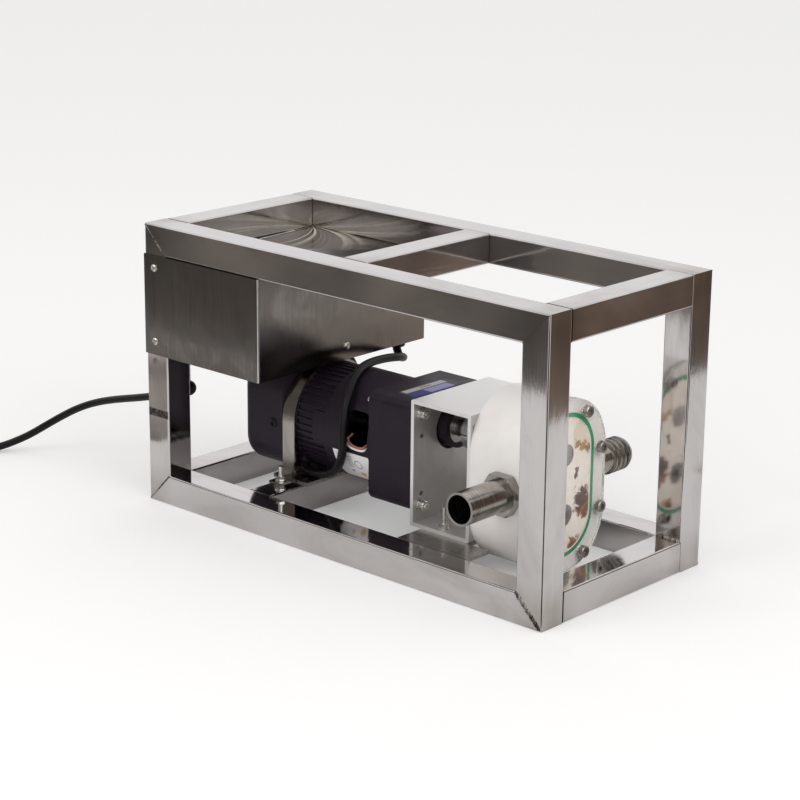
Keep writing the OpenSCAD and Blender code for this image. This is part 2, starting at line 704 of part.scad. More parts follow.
// Strap over the motor with a foot on each side, and its studs
module strap_stud_holes() {
    for (s = [-1, 1]) translate([strap_mid, s * stud_y, tube - tube_wall - cut])
        cylinder(h = tube_wall + 2 * cut, r = stud_r + seat_gap);
}
module motor_strap() {
    inner = housing_r + seat_gap;
    outer = inner + strap_t;
    color(steel) difference() {
        translate([strap_x, 0, 0]) union() {
            difference() {
                along_x(0, 0, motor_z) cylinder(h = strap_w, r = outer);
                along_x(-cut, 0, motor_z) cylinder(h = strap_w + 2 * cut, r = inner);
                translate([-cut, -outer - cut, motor_z - outer - cut])
                    cube([strap_w + 2 * cut, 2 * outer + 2 * cut, outer + cut]);
            }
            for (s = [-1, 1]) {
                translate([0, s > 0 ? inner : -outer, strap_foot_z - strap_t])
                    cube([strap_w, strap_t, motor_z - strap_foot_z + strap_t]);
                translate([0, s > 0 ? inner : -inner - strap_foot, strap_foot_z - strap_t])
                    cube([strap_w, strap_foot, strap_t]);
            }
        }
        for (s = [-1, 1]) translate([strap_mid, s * stud_y, strap_foot_z - strap_t - cut])
            cylinder(h = strap_t + 2 * cut, r = stud_r + 0.2);
    }
}
module stud_with_nut(z0, z1, seats) {
    translate([0, 0, z0]) cylinder(h = z1 - z0, r = stud_r);
    for (z = seats) translate([0, 0, z]) {
        cylinder(h = washer_t, r = washer_r);
        translate([0, 0, washer_t]) cylinder(h = nut_h, d = nut_af / cos(30), $fn = 6);
    }
}
module strap_bolts() {
    color("silver") for (s = [-1, 1]) translate([strap_mid, s * stud_y, 0])
        stud_with_nut(tube - tube_wall - 1.4, strap_foot_z + 12, [tube, strap_foot_z]);
}
module motor_base_plate() {
    color(steel) translate([strap_mid - base_l / 2, -housing_r, base_z]) cube([base_l, 2 * housing_r, base_t]);
}
module rubber_pads() {
    pad_l = tube - 1;
    saddle_x0 = housing_x0 + 1;
    saddle_x1 = min(strap_mid + base_l / 2 - 1, shield_x0);
    color(rubber) {
        translate([cross_tube_x - pad_l / 2, -40, tube]) cube([pad_l, 80, pad_t]);
        difference() {
            translate([saddle_x0, -20, saddle_z]) cube([saddle_x1 - saddle_x0, 40, saddle_t + 6]);
            rod_x(saddle_x0 - cut, saddle_x1 + cut, 0, motor_z, housing_r + seat_gap);
        }
    }
}

// Gearbox
module bracket_bolt_holes() {
    for (y = [-bolt_y, bolt_y], z = bolt_zs)
        rod_x(flange_x - 9, bracket_x0 + bracket_t + cut, y, z, bolt_r + 0.1);
}
module gearbox_housing() {
    color(black) difference() {
        union() {
            rounded_x(gearbox_x0, bracket_x0, motor_z, square_w, gearbox_edge);
            rod_x(bracket_x0 - cut, bracket_x0 + boss_l, 0, shaft_z, boss_r);
        }
        rod_x(gearbox_x0 - cut, bracket_x0 - 9, 0, motor_z, 34);
        rod_x(bracket_x0 - 10, bracket_x0 + boss_l + cut, 0, shaft_z, out_shaft_r + 1);
        rod_x(bracket_x0 + 1, bracket_x0 + boss_l + cut, 0, shaft_z, 13 + seat_gap);
        bracket_bolt_holes();
    }
}
module output_gear() {
    rp = red_m * wheel_z / 2;
    color("#8f8c88") difference() {
        along_x(gearbox_x0 + 9.5, 0, shaft_z) linear_extrude(red_w)
            gear_profile(red_m, wheel_z, rp + 0.7 * red_m, rp - 1.25 * red_m, 0.06);
        rod_x(gearbox_x0 + 8, gearbox_x0 + 10.5 + red_w, 0, shaft_z, out_shaft_r + seat_gap);
    }
}
module output_shaft() {
    color("silver") union() {
        rod_x(gearbox_x0, bracket_x0 + 37, 0, shaft_z, out_shaft_r);
        ring_x(gearbox_x0 + 9.6 + red_w, gearbox_x0 + 14 + red_w, 0, shaft_z, out_shaft_r + 1.5, out_shaft_r - 0.5);
    }
}

// Bracket: box section open at the front and back
module bracket_stud_holes() {
    for (s = [-1, 1]) translate([bracket_stud_x, s * bracket_stud_y, tube - deck_t - cut])
        cylinder(h = deck_t + bracket_t + 2 * cut, r = stud_r + 0.1);
}
module pump_bracket() {
    x1 = bracket_x0 + bracket_l;
    high = bracket_top - tube;
    corner = 1.5;
    color(steel_dark) difference() {
        translate([0, half_w, 0]) rotate([90, 0, 0]) linear_extrude(square_w) difference() {
            translate([bracket_x0, tube]) union() {
                translate([corner, 0]) square([bracket_l - 2 * corner, high]);
                translate([0, corner]) square([bracket_l, high - 2 * corner]);
                for (x = [corner, bracket_l - corner], z = [corner, high - corner]) translate([x, z]) circle(r = corner);
            }
            translate([bracket_x0 + bracket_t, tube + bracket_t])
                square([bracket_l - 2 * bracket_t, high - 2 * bracket_t]);
        }
        rod_x(bracket_x0 - cut, bracket_x0 + bracket_t + cut, 0, shaft_z - 1, boss_r + 1.5);
        rod_x(x1 - bracket_t - cut, x1 + cut, 0, shaft_z, coupling_r + 1);
        bracket_bolt_holes();
        for (y = [-bolt_y + 1, bolt_y - 1], z = spare_hole_zs)
            rod_x(bracket_x0 - cut, bracket_x0 + bracket_t + cut, y, z, spare_hole_r);
        for (y = [-pump_bolt_y, pump_bolt_y], z = pump_bolt_zs)
            rod_x(x1 - bracket_t - cut, x1 + cut, y, z, bolt_r + 0.1);
        for (s = [-1, 1]) rod_x(x1 - bracket_t - cut, x1 + cut, s * corner_hole[0], corner_hole[1], bolt_r + 0.1);
        bracket_stud_holes();
    }
}

// Socket screw along +X with its head's back face at the origin
module socket_screw(r, head_r, head_h, shank) {
    rotate_extrude() polygon([
        [0, 0], [head_r, 0], [head_r, head_h - 0.6], [head_r - 0.6, head_h], [r * 0.9, head_h],
        [r * 0.9, head_h * 0.45], [0, head_h * 0.45]
    ]);
    translate([0, 0, -shank]) cylinder(h = shank + 0.5, r = r);
}
module bracket_bolts() {
    plate_x = bracket_x0 + bracket_t;
    x1 = bracket_x0 + bracket_l;
    color("silver") {
        for (y = [-bolt_y, bolt_y], z = bolt_zs) {
            along_x(plate_x + washer_t, y, z) socket_screw(bolt_r, bolt_head_r, bolt_head_h, plate_x + washer_t - flange_x + 7);
            ring_x(plate_x, plate_x + washer_t, y, z, bolt_head_r + 0.9, bolt_r - 0.1);
            hex_x(flange_x - bolt_nut_h, flange_x, y, z, bolt_nut_af);
        }
        for (y = [-pump_bolt_y, pump_bolt_y], z = pump_bolt_zs)
            translate([x1 - bracket_t, y, z]) rotate([0, -90, 0])
                socket_screw(bolt_r, bolt_head_r, bolt_head_h, bracket_t + pump_bolt_depth - 2);
        for (s = [-1, 1]) translate([bracket_stud_x, s * bracket_stud_y, 0]) {
            stud_with_nut(tube - deck_t - 4, tube + bracket_t + 17.5, [tube + bracket_t]);
            translate([0, 0, tube - deck_t - 3]) cylinder(h = 3, d = nut_af / cos(30), $fn = 6);
        }
    }
}
module shaft_coupling() {
    x1 = body_x0 - 2;
    x0 = x1 - coupling_l;
    slit = 1.2;
    color("silver") difference() {
        rod_x(x0, x1, 0, shaft_z, coupling_r);
        rod_x(x0 - cut, x0 + coupling_l / 2 + 0.01, 0, shaft_z, out_shaft_r + seat_gap);
        rod_x(x0 + coupling_l / 2, x1 + cut, 0, shaft_z, pump_shaft_r + seat_gap);
        translate([x0 - cut, -coupling_r - cut, shaft_z - slit / 2]) cube([coupling_l + 2 * cut, coupling_r + cut, slit]);
        for (x = [x0 + 8, x1 - 8], s = [-1, 1])
            rod_y(x, -coupling_r - cut, -out_shaft_r + 2, shaft_z + s * 9.4, 2.1);
    }
}

// Pump
module pump_body() {
    color("#ece6e3") difference() {
        stadium_x(body_x0, body_x1, pump_r);
        for (z = gear_centres) rod_x(chamber_x0, body_x1 + cut, 0, z, chamber_r);
        stadium_x(wear_x0, body_x1 + cut, wear_r);
        rod_x(body_x0 - cut, body_x0 + seal_seat_l, 0, shaft_z, seal_seat_r + seat_gap);
        rod_x(body_x0, chamber_x0 + cut, 0, shaft_z, pump_shaft_r + 0.6);
        for (z = gear_centres) rod_x(chamber_x0 - bush_l, chamber_x0 + cut, 0, z, bush_r + seat_gap);
        for (s = [-1, 1]) {
            rod_y(port_x, s > 0 ? 8 : -pump_r - cut, s > 0 ? pump_r + cut : -8, port_z, port_r);
            rod_y(port_x, s > 0 ? pump_r - stub_l : -pump_r - cut, s > 0 ? pump_r + cut : stub_l - pump_r, port_z, stub_r + seat_gap);
        }
        difference() {
            stadium_x(body_x1 - 1.6 * seal_r, body_x1 + cut, seal_path_r + seal_r + 0.1);
            stadium_x(body_x1 - 2 * seal_r, body_x1 + 2 * cut, seal_path_r - seal_r - 0.1);
        }
        cover_screw_holes(body_x1 - 15, cover_screw_r + seat_gap);
        for (y = [-pump_bolt_y, pump_bolt_y], z = pump_bolt_zs)
            rod_x(body_x0 - cut, body_x0 + pump_bolt_depth, y, z, bolt_r + seat_gap);
    }
}
module cover_screw_places() {
    for (end = [0, 1], a = screw_angles)
        translate([0, screw_path_r * cos(a), (end == 0 ? shaft_z : driven_z) + (end == 0 ? 1 : -1) * screw_path_r * sin(a)])
            children();
}
module cover_screw_holes(x, r) {
    cover_screw_places() rod_x(x, cover_x + cut, 0, 0, r);
}
module wear_plate() {
    color("#e6d9c6") difference() {
        stadium_x(wear_x0, body_x1 - face_gap, wear_r - seat_gap);
        for (z = gear_centres) rod_x(wear_x0 - cut, body_x1 + cut, 0, z, pump_shaft_r + run_gap);
        rod_x(wear_x0 - cut, body_x1 + cut, 14.5, shaft_z - 14, 1.6);
    }
}
module pump_cover() {
    edge = 0.8;
    color([0.93, 0.94, 0.93, 0.55]) difference() {
        union() {
            stadium_x(body_x1, cover_x - edge, pump_r);
            stadium_x(cover_x - edge - 0.01, cover_x, pump_r - edge);
        }
        cover_screw_holes(body_x1 - cut, cover_screw_r + 0.2);
    }
}
module cover_seal() {
    color("#2f9f6f") difference() {
        stadium_x(body_x1 - 1.5 * seal_r, body_x1 - 0.02, seal_path_r + seal_r);
        stadium_x(body_x1 - 2 * seal_r, body_x1 + cut, seal_path_r - seal_r);
    }
}
module cover_screws() {
    color("silver") cover_screw_places() along_x(cover_x, 0, 0)
        socket_screw(cover_screw_r, 4.7, 4.2, cover_t + 13);
}
module pump_gear(z, turn) {
    difference() {
        along_x(gear_x0, 0, z) linear_extrude(gear_w)
            rotate(turn) gear_profile(pump_m, pump_z, gear_tip, gear_root, 0.3);
        rod_x(gear_x0 - cut, gear_x0 + gear_w + cut, 0, z, pump_shaft_r + seat_gap);
    }
}
module drive_gear() { color("#e9dfcc") pump_gear(shaft_z, 0); }
module driven_gear() { color("#e9dfcc") pump_gear(driven_z, 180 / pump_z); }
module drive_shaft() {
    color("silver") rod_x(body_x0 - 2 - coupling_l / 2 + 0.5, body_x1 - 0.6, 0, shaft_z, pump_shaft_r);
}
module driven_shaft() {
    color("silver") difference() {
        rod_x(chamber_x0 - bush_l + 0.5, body_x1 - 0.6, 0, driven_z, pump_shaft_r);
        hex_x(body_x1 - 5, body_x1, 0, driven_z, 6);
    }
}
module shaft_bushes() {
    color("#b08a4e") for (z = gear_centres)
        ring_x(chamber_x0 - bush_l + 0.1, chamber_x0 - face_gap, 0, z, bush_r, pump_shaft_r + run_gap);
}
module shaft_seal() {
    color(rubber) ring_x(body_x0, body_x0 + seal_seat_l - 0.1, 0, shaft_z, seal_seat_r, pump_shaft_r + run_gap);
}

// Hose tails: a threaded stub, a hexagon and a plain or ridged tail, turned about the Y axis
module tail_on_side(s) {
    translate([port_x, 0, port_z]) rotate([-s * 90, 0, 0]) children();
}
module chamfered_disc(z, h, r, c) {
    rotate_extrude() polygon([
        [0, z], [r - c, z], [r, z + c * 0.6], [r, z + h - c * 0.6], [r - c, z + h], [0, z + h]
    ]);
}
module hose_tail(profile) {
    difference() {
        union() {
            translate([0, 0, pump_r - stub_l + 0.3]) cylinder(h = stub_l + 0.5, r = stub_r);
            intersection() {
                translate([0, 0, pump_r]) cylinder(h = tail_hex_l, d = tail_hex / cos(30), $fn = 6);
                chamfered_disc(pump_r, tail_hex_l, tail_hex / 2 / cos(30) + 0.1, 1.6);
            }
            rotate_extrude() polygon(profile);
        }
        translate([0, 0, pump_r - stub_l - cut]) cylinder(h = tail_reach, r = tail_bore);
    }
}
module near_hose_tail() {
    start = pump_r + tail_hex_l - cut;
    color(steel_dark) tail_on_side(-1) hose_tail([
        [0, start], [tail_r, start], [tail_r, tail_reach], [0, tail_reach]
    ]);
}
module far_hose_barb() {
    start = pump_r + tail_hex_l - cut;
    ridges = 4;
    low = barb_r - 1.8;
    root = tail_reach - ridges * barb_pitch;
    color(steel_dark) tail_on_side(1) hose_tail(concat(
        [[0, start], [low, start]],
        [for (i = [0:ridges - 1]) let(y = root + i * barb_pitch) each [
            [low, y], [barb_r, y + 0.7], [barb_r, y + 2], [low, y + barb_pitch - 0.4]
        ]],
        [[low, tail_reach], [0, tail_reach]]
    ));
}

// Cables and cord
// A route whose first points follow one end and whose last points follow the other
function moved_route(route, first, last, over) = [
    for (i = [0:len(route) - 1]) let(t = min(1, i / over)) route[i] + (1 - t) * first + t * last
];
module motor_cable() { color(rubber) swept_tube(moved_route(cable_route, grommet_shift, motor_shift, 9), cable_d); }
module motor_leads() {
    color("#e4d8d6") translate(motor_shift) {
        swept_tube(wire_route_a, wire_d);
        swept_tube(wire_route_b, wire_d);
    }
}
module mains_cord() {
    floor_shift = [gland_shift[0], gland_shift[1], 0];
    color(rubber) swept_tube(moved_route(cord_route, gland_shift, floor_shift, 14), cord_d);
}
module cord_coil() {
    edge = cord_d / 2;
    color(rubber) translate([coil_at[0], coil_at[1], 0]) rotate_extrude() translate([coil_r_in, 0]) union() {
        translate([edge, 0]) square([coil_r_out - coil_r_in - 2 * edge, coil_h]);
        translate([0, edge]) square([coil_r_out - coil_r_in, coil_h - 2 * edge]);
        for (x = [edge, coil_r_out - coil_r_in - edge], z = [edge, coil_h - edge]) translate([x, z]) circle(r = edge);
    }
}
module mains_plug() {
    body_l = 34;
    body_w = 24;
    body_h = 18;
    color(rubber) translate(plug_at) rotate([0, 0, plug_turn]) union() {
        translate([-body_l / 2, -body_w / 2 + 3, 0]) cube([body_l, body_w - 6, body_h]);
        translate([-body_l / 2, -body_w / 2, 3]) cube([body_l, body_w, body_h - 6]);
        for (y = [-1, 1], z = [3, body_h - 3]) along_x(-body_l / 2, y * (body_w / 2 - 3), z) cylinder(h = body_l, r = 3);
        for (y = [-6.5, 6.5]) translate([body_l / 2 - cut, y - 3, body_h / 2 - 0.8]) cube([18, 6, 1.6]);
        along_x(-body_l / 2 - 16, 0, body_h / 2) cylinder(h = 17, r1 = 3.6, r2 = 6);
    }
}

near_bottom_rail();
near_top_rail();
near_left_post();
near_right_post();
far_bottom_rail();
far_top_rail();
far_left_post();
far_right_post();
top_left_tube();
top_middle_tube();
top_right_tube();
bottom_left_tube();
bottom_right_tube();
motor_cross_tube();
pump_deck_plate();
control_box_wrap();
control_box_tray();
control_box_lid();
control_box_screws();
cable_grommet();
mains_gland();
run_capacitor();
terminal_block();
fan_cover();
cooling_fan();
rear_shield();
motor_housing();
front_shield();
stator();
rotor_core();
motor_shaft();
shaft_bearings();
motor_strap();
strap_bolts();
motor_base_plate();
rubber_pads();
gearbox_housing();
output_gear();
output_shaft();
pump_bracket();
bracket_bolts();
shaft_coupling();
pump_body();
wear_plate();
pump_cover();
cover_seal();
cover_screws();
drive_gear();
drive_shaft();
driven_gear();
driven_shaft();
shaft_bushes();
shaft_seal();
near_hose_tail();
far_hose_barb();
motor_cable();
motor_leads();
mains_cord();
cord_coil();
mains_plug();
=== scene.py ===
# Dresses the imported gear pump: camera, cords, metal and plastic finishes, welds, labels and light.
import math
import bpy
import numpy as np
from mathutils import Matrix, Vector


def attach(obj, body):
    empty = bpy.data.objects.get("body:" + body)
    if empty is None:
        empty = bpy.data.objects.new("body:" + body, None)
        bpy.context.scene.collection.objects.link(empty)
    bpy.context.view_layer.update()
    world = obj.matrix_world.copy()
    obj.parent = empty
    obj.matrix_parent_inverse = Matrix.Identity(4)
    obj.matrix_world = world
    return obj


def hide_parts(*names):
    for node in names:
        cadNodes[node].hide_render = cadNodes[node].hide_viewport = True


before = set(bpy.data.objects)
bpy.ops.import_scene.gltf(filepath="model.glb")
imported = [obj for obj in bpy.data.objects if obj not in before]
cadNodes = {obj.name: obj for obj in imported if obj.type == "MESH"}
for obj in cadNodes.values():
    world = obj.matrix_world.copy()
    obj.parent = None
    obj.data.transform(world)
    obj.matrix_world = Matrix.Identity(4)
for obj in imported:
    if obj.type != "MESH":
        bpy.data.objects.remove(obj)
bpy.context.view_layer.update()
print("frame loaded with", len(cadNodes), "nodes")


def hexToLinear(code, part=1.0, lift=0.0):  # sRGB hex to the linear colour of the shaders, times a part, plus a lift
    rgb = [int(code[i:i + 2], 16) / 255 for i in (1, 3, 5)]
    return tuple((v / 12.92 if v < 0.04045 else ((v + 0.055) / 1.055) ** 2.4) * part + lift for v in rgb) + (1.0,)


def setSockets(tree, node, sockets):  # each socket takes a value, an output, or a node's first output in use
    for key, value in sockets.items():
        if isinstance(value, bpy.types.Node):
            value = next(socket for socket in value.outputs if socket.enabled)
        if isinstance(value, bpy.types.NodeSocket):
            tree.links.new(value, node.inputs[key])
        else:
            node.inputs[key].default_value = value


def addNode(tree, kind, sockets=None, **settings):  # one shader node with its settings, then its sockets
    made = tree.nodes.new("ShaderNode" + kind)
    for key, value in settings.items():
        if hasattr(made, key):
            setattr(made, key, value)
        else:
            made.inputs[key.replace("_", " ")].default_value = value
    setSockets(tree, made, sockets or {})
    return made


def gridFaces(nu, nv, closeU=False, closeV=False):  # the quads between neighbours on an nu by nv grid
    idx = np.arange(nu * nv).reshape(nu, nv)
    if closeU:
        idx = np.concatenate([idx, idx[:1]])
    if closeV:
        idx = np.concatenate([idx, idx[:, :1]], axis=1)
    return np.stack([idx[:-1, :-1], idx[1:, :-1], idx[1:, 1:], idx[:-1, 1:]], axis=-1).reshape(-1, 4)


def meshPiece(name, points, faces):  # a smooth mesh in the scene, its place in its points
    mesh = bpy.data.meshes.new(name)
    mesh.from_pydata(points.reshape(-1, 3).tolist(), [], faces)
    mesh.polygons.foreach_set("use_smooth", np.ones(len(mesh.polygons), bool))
    mesh.update()
    made = bpy.data.objects.new(name, mesh)
    bpy.context.scene.collection.objects.link(made)
    return made


def gridMesh(name, points, closeU=False, closeV=False, capU=False):  # points[u, v, xyz]; capU closes the end rings
    nu, nv = points.shape[:2]
    faces = gridFaces(nu, nv, closeU, closeV).tolist()
    if capU:
        faces += [list(range(nv)), list(range((nu - 1) * nv, nu * nv))[::-1]]
    return meshPiece(name, points, faces)


def joinedGrids(name, grids):  # several open grids as one mesh
    starts = np.cumsum([0] + [grid.shape[0] * grid.shape[1] for grid in grids])
    faces = np.vstack([gridFaces(*grid.shape[:2]) + start for grid, start in zip(grids, starts)])
    return meshPiece(name, np.vstack([grid.reshape(-1, 3) for grid in grids]), faces.tolist())


def runLength(line):  # length of a line through points
    return float(np.linalg.norm(np.diff(line, axis=0), axis=1).sum())


def smoothPath(points, step):  # Catmull-Rom line through the points, resampled at an even step
    p = np.asarray(points, float)
    p = np.vstack([2 * p[0] - p[1], p, 2 * p[-1] - p[-2]])
    t = np.linspace(0, 1, 24, endpoint=False)[:, None]
    parts = [0.5 * (2 * b + (c - a) * t + (2 * a - 5 * b + 4 * c - d) * t ** 2 + (3 * b - a - 3 * c + d) * t ** 3)
             for a, b, c, d in zip(p, p[1:], p[2:], p[3:])]
    line = np.vstack(parts + [p[-2:-1]])
    run = np.concatenate([[0], np.cumsum(np.linalg.norm(np.diff(line, axis=0), axis=1))])
    marks = np.linspace(0, run[-1], max(2, int(round(run[-1] / step)) + 1))
    return np.stack([np.interp(marks, run, line[:, k]) for k in range(3)], axis=1)


def tubeAlong(name, path, radius, sides=14):  # a circle carried along a path, its frame turned as little as possible
    path = np.asarray(path, float)
    tangent = np.gradient(path, axis=0)
    tangent /= np.linalg.norm(tangent, axis=1, keepdims=True)
    side = np.zeros_like(path)
    first = np.cross(tangent[0], [0, 0, 1] if abs(tangent[0][2]) < 0.9 else [1, 0, 0])
    side[0] = first / np.linalg.norm(first)
    for i in range(1, len(path)):
        turned = side[i - 1] - tangent[i] * np.dot(side[i - 1], tangent[i])
        side[i] = turned / np.linalg.norm(turned)
    other = np.cross(side, tangent)
    a = np.linspace(0, 2 * np.pi, sides, endpoint=False)[None, :, None]
    return gridMesh(name, path[:, None] + radius * (side[:, None] * np.cos(a) + other[:, None] * np.sin(a)),
                    closeV=True, capU=True)


def roundedTurn(a, power):  # cosine and sine of a superellipse: a low power squares the circle
    return (np.sign(np.cos(a)) * np.abs(np.cos(a)) ** power, np.sign(np.sin(a)) * np.abs(np.sin(a)) ** power)


# The camera was fitted to the corners of the frame; place in metres, angles in degrees.
cameraSetup = {"azimuth": 42.544, "elevation": 16.638, "roll": 0.594, "focalPixels": 2278.45, "imagePixels": 800,
               "place": (1.169861, -1.293364, 0.631370)}


def makeCamera(setup):  # looks back down a direction set by azimuth and elevation, then rolled about it
    az, el, roll = (math.radians(setup[k]) for k in ("azimuth", "elevation", "roll"))
    back = Vector((math.sin(az) * math.cos(el), -math.cos(az) * math.cos(el), math.sin(el)))
    right = Vector((0, 0, 1)).cross(back).normalized()
    up = back.cross(right)
    turnedRight = right * math.cos(roll) + up * math.sin(roll)
    turnedUp = up * math.cos(roll) - right * math.sin(roll)
    lens = bpy.data.cameras.new("photoCamera")
    lens.sensor_fit = "HORIZONTAL"
    lens.sensor_width = 36
    lens.lens = setup["focalPixels"] * lens.sensor_width / setup["imagePixels"]
    lens.clip_start, lens.clip_end = 0.05, 30
    made = bpy.data.objects.new("photoCamera", lens)
    bpy.context.scene.collection.objects.link(made)
    turn = Matrix((turnedRight, turnedUp, back)).transposed().to_4x4()
    made.matrix_world = Matrix.Translation(setup["place"]) @ turn
    bpy.context.scene.camera = made


makeCamera(cameraSetup)
print("camera placed")

# Mains cord: out of the boot, down to the bench, and put away as a coil of two layers with its plug on top.
mainsSetup = {
    "diameter": 0.0065, "length": 1.59,
    "coilCentre": (-0.446, -0.158), "pitch": 0.0067, "outerRing": 0.0457, "innerRing": 0.0259,
    "startAngle": 20, "endAngle": 60, "stepTurn": 180, "stepRise": 150, "bendTurn": 125,  # on the coil, in degrees
    "plugHeight": 0.0222, "lastBend": 0.027, "lastRun": 0.022, "riseRun": 0.081, "gap": 0.0001,
    "route": [
        (-0.2100, -0.0620, 0.0866), (-0.2130, -0.0620, 0.0849), (-0.2180, -0.0620, 0.0832), (-0.2270, -0.0620, 0.0809),
        (-0.2400, -0.0620, 0.0772), (-0.2550, -0.0620, 0.0729), (-0.2700, -0.0620, 0.0688), (-0.2850, -0.0620, 0.0649),
        (-0.3000, -0.0622, 0.0608), (-0.3150, -0.0630, 0.0562), (-0.3300, -0.0648, 0.0506), (-0.3450, -0.0680, 0.0434),
        (-0.3590, -0.0730, 0.0348), (-0.3720, -0.0796, 0.0256), (-0.3840, -0.0876, 0.0166), (-0.3950, -0.0966, 0.0096),
        (-0.4034, -0.1054, 0.0052), (-0.4086, -0.1136, 0.0035), (-0.4100, -0.1200, 0.0033), (-0.4096, -0.1246, 0.0033)],
}


def easeInOut(t):  # a cubic from 0 to 1 that is level at both ends
    return t ** 2 * (3 - 2 * t)


def coilPoint(radius, degrees, height, centre):  # cosine and sine of the angle times the radius, round the centre
    a = np.radians(degrees)
    return np.stack([centre[0] + radius * np.cos(a), centre[1] + radius * np.sin(a),
                     np.broadcast_to(height, np.shape(a))], axis=-1)


def mainsPath(setup):  # lower ring wound inwards, a step up, upper ring wound outwards, then a bend onto the plug
    centre, pitch, inner, outer = (setup[k] for k in ("coilCentre", "pitch", "innerRing", "outerRing"))
    low = setup["diameter"] / 2 + setup["gap"]
    high = low + setup["diameter"] + setup["gap"]
    top = setup["plugHeight"]
    turnsIn = (outer - inner) / pitch
    a = np.linspace(setup["startAngle"], setup["startAngle"] - 360 * turnsIn, int(40 * turnsIn))
    lower = coilPoint(outer - pitch * (setup["startAngle"] - a) / 360, a, low, centre)
    b = np.linspace(a[-1], a[-1] - setup["stepTurn"], 20)[1:]
    rise = np.clip((a[-1] - b) / setup["stepRise"], 0, 1)
    step = coilPoint(np.full(b.shape, inner), b, low + (high - low) * easeInOut(rise), centre)
    stop = setup["endAngle"] - 360 * math.floor((setup["endAngle"] - b[-1]) / 360 + 3)
    c = np.linspace(b[-1], stop, int(40 * (b[-1] - stop) / 360))[1:]
    ring = inner + pitch * (b[-1] - c) / 360
    lead = np.clip((setup["lastRun"] - np.radians(c - c[-1]) * ring) / setup["riseRun"], 0, 1)
    upper = coilPoint(ring, c, high + (top - high) * easeInOut(lead), centre)
    bend = setup["lastBend"]
    turn = np.radians(np.linspace(0, setup["bendTurn"], 30)[1:])
    start, heading = upper[-1], math.radians(setup["endAngle"] - 90)
    middle = start[:2] + bend * np.array([math.sin(heading), -math.cos(heading)])
    lift = np.clip((setup["lastRun"] + bend * turn) / setup["riseRun"], 0, 1)
    last = np.stack([middle[0] - bend * np.sin(heading - turn), middle[1] + bend * np.cos(heading - turn),
                     high + (top - high) * easeInOut(lift)], axis=-1)
    return smoothPath(np.vstack([setup["route"], lower, step, upper, last]), 0.0035)


mainsLine = mainsPath(mainsSetup)
print("mains cord length", round(runLength(mainsLine), 4))
mainsCord = tubeAlong("mainsCord", mainsLine, mainsSetup["diameter"] / 2, 14)
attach(mainsCord, "frame")
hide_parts("mains_cord", "cord_coil")

tieSetup = {"angle": 118, "width": 0.0034, "thick": 0.0009, "halfHeight": 0.0068, "middle": 0.0070, "room": 0.0037}


def coilTie(setup, tie):  # a flat band round the coil's section, a rounded box swept along its width
    centre = setup["coilCentre"]
    inner, outer = setup["innerRing"] - tie["room"], setup["outerRing"] + tie["room"]
    across, upward = roundedTurn(np.linspace(0, 2 * np.pi, 56, endpoint=False), 0.35)
    x = across * (outer - inner) / 2 + (outer + inner) / 2
    z = upward * tie["halfHeight"] + tie["middle"]
    xi = (x - x.mean()) * (1 - 2 * tie["thick"] / (outer - inner)) + x.mean()
    zi = (z - tie["middle"]) * (1 - tie["thick"] / tie["halfHeight"]) + tie["middle"]
    cosine, sine = math.cos(math.radians(tie["angle"])), math.sin(math.radians(tie["angle"]))
    points = np.stack([np.stack([centre[0] + px * cosine - s * tie["width"] / 2 * sine,
                                 centre[1] + px * sine + s * tie["width"] / 2 * cosine, pz], axis=-1)
                       for px, pz, s in ((x, z, -1), (x, z, 1), (xi, zi, 1), (xi, zi, -1))])
    return gridMesh("cordTie", points, closeU=True, closeV=True)


plugSetup = {
    "centre": (-0.4569, -0.1833, 0.0222), "turn": 205, "blades": {"plugBladeA": -6.5, "plugBladeB": 6.5},
    # along the plug, half width, half height, all in mm: tail, shoulders, waisted grip, face
    "profile": [(-33, 3.5, 3.5), (-32.5, 3.6, 3.6), (-18, 5.8, 5.6), (-17, 7.2, 6.4), (-15.6, 9.9, 7.8),
                (-12, 11.3, 8.5), (-6, 10.9, 8.4), (0, 10.5, 8.2), (6, 10.9, 8.4), (12, 11.8, 8.8),
                (15.4, 11.9, 8.9), (16.7, 11.5, 8.5), (17, 10.8, 7.9)],
    "grooveMm": (2.7, 0.55), "ribMm": (2.1, 0.35),  # pitch and depth
}


def plugPlaced(setup, along, side, upward):  # plug coordinates in mm to the frame's
    turn = math.radians(setup["turn"])
    x0, y0, z0 = setup["centre"]
    return np.stack([x0 + (along * math.cos(turn) - side * math.sin(turn)) / 1000,
                     y0 + (along * math.sin(turn) + side * math.cos(turn)) / 1000, z0 + upward / 1000], axis=-1)


def plugBody(setup):  # a superellipse carried along the profile, rippled by grooves in the tail and ribs on the grip
    knots = np.array(setup["profile"], float)
    t = np.linspace(-33, 17, 260)
    width, height = (np.interp(t, knots[:, 0], knots[:, k]) for k in (1, 2))
    groovePitch, grooveDepth = setup["grooveMm"]
    ribPitch, ribDepth = setup["ribMm"]
    groove = grooveDepth * np.clip(3 * np.sin(t * 2 * np.pi / groovePitch), 0, 1) * ((t > -31.2) & (t < -18.4))
    rib = ribDepth * np.cos(t * 2 * np.pi / ribPitch) * ((t > -9) & (t < 9))
    across, upward = roundedTurn(np.linspace(2 * np.pi, 0, 48, endpoint=False)[None],
                                 np.interp(t, [-18, -13], [1.0, 0.55])[:, None])
    side = (width - groove + rib - ribDepth)[:, None] * across
    return gridMesh("mainsPlug", plugPlaced(setup, t[:, None] + 0 * side, side, (height - groove)[:, None] * upward),
                    closeV=True, capU=True)


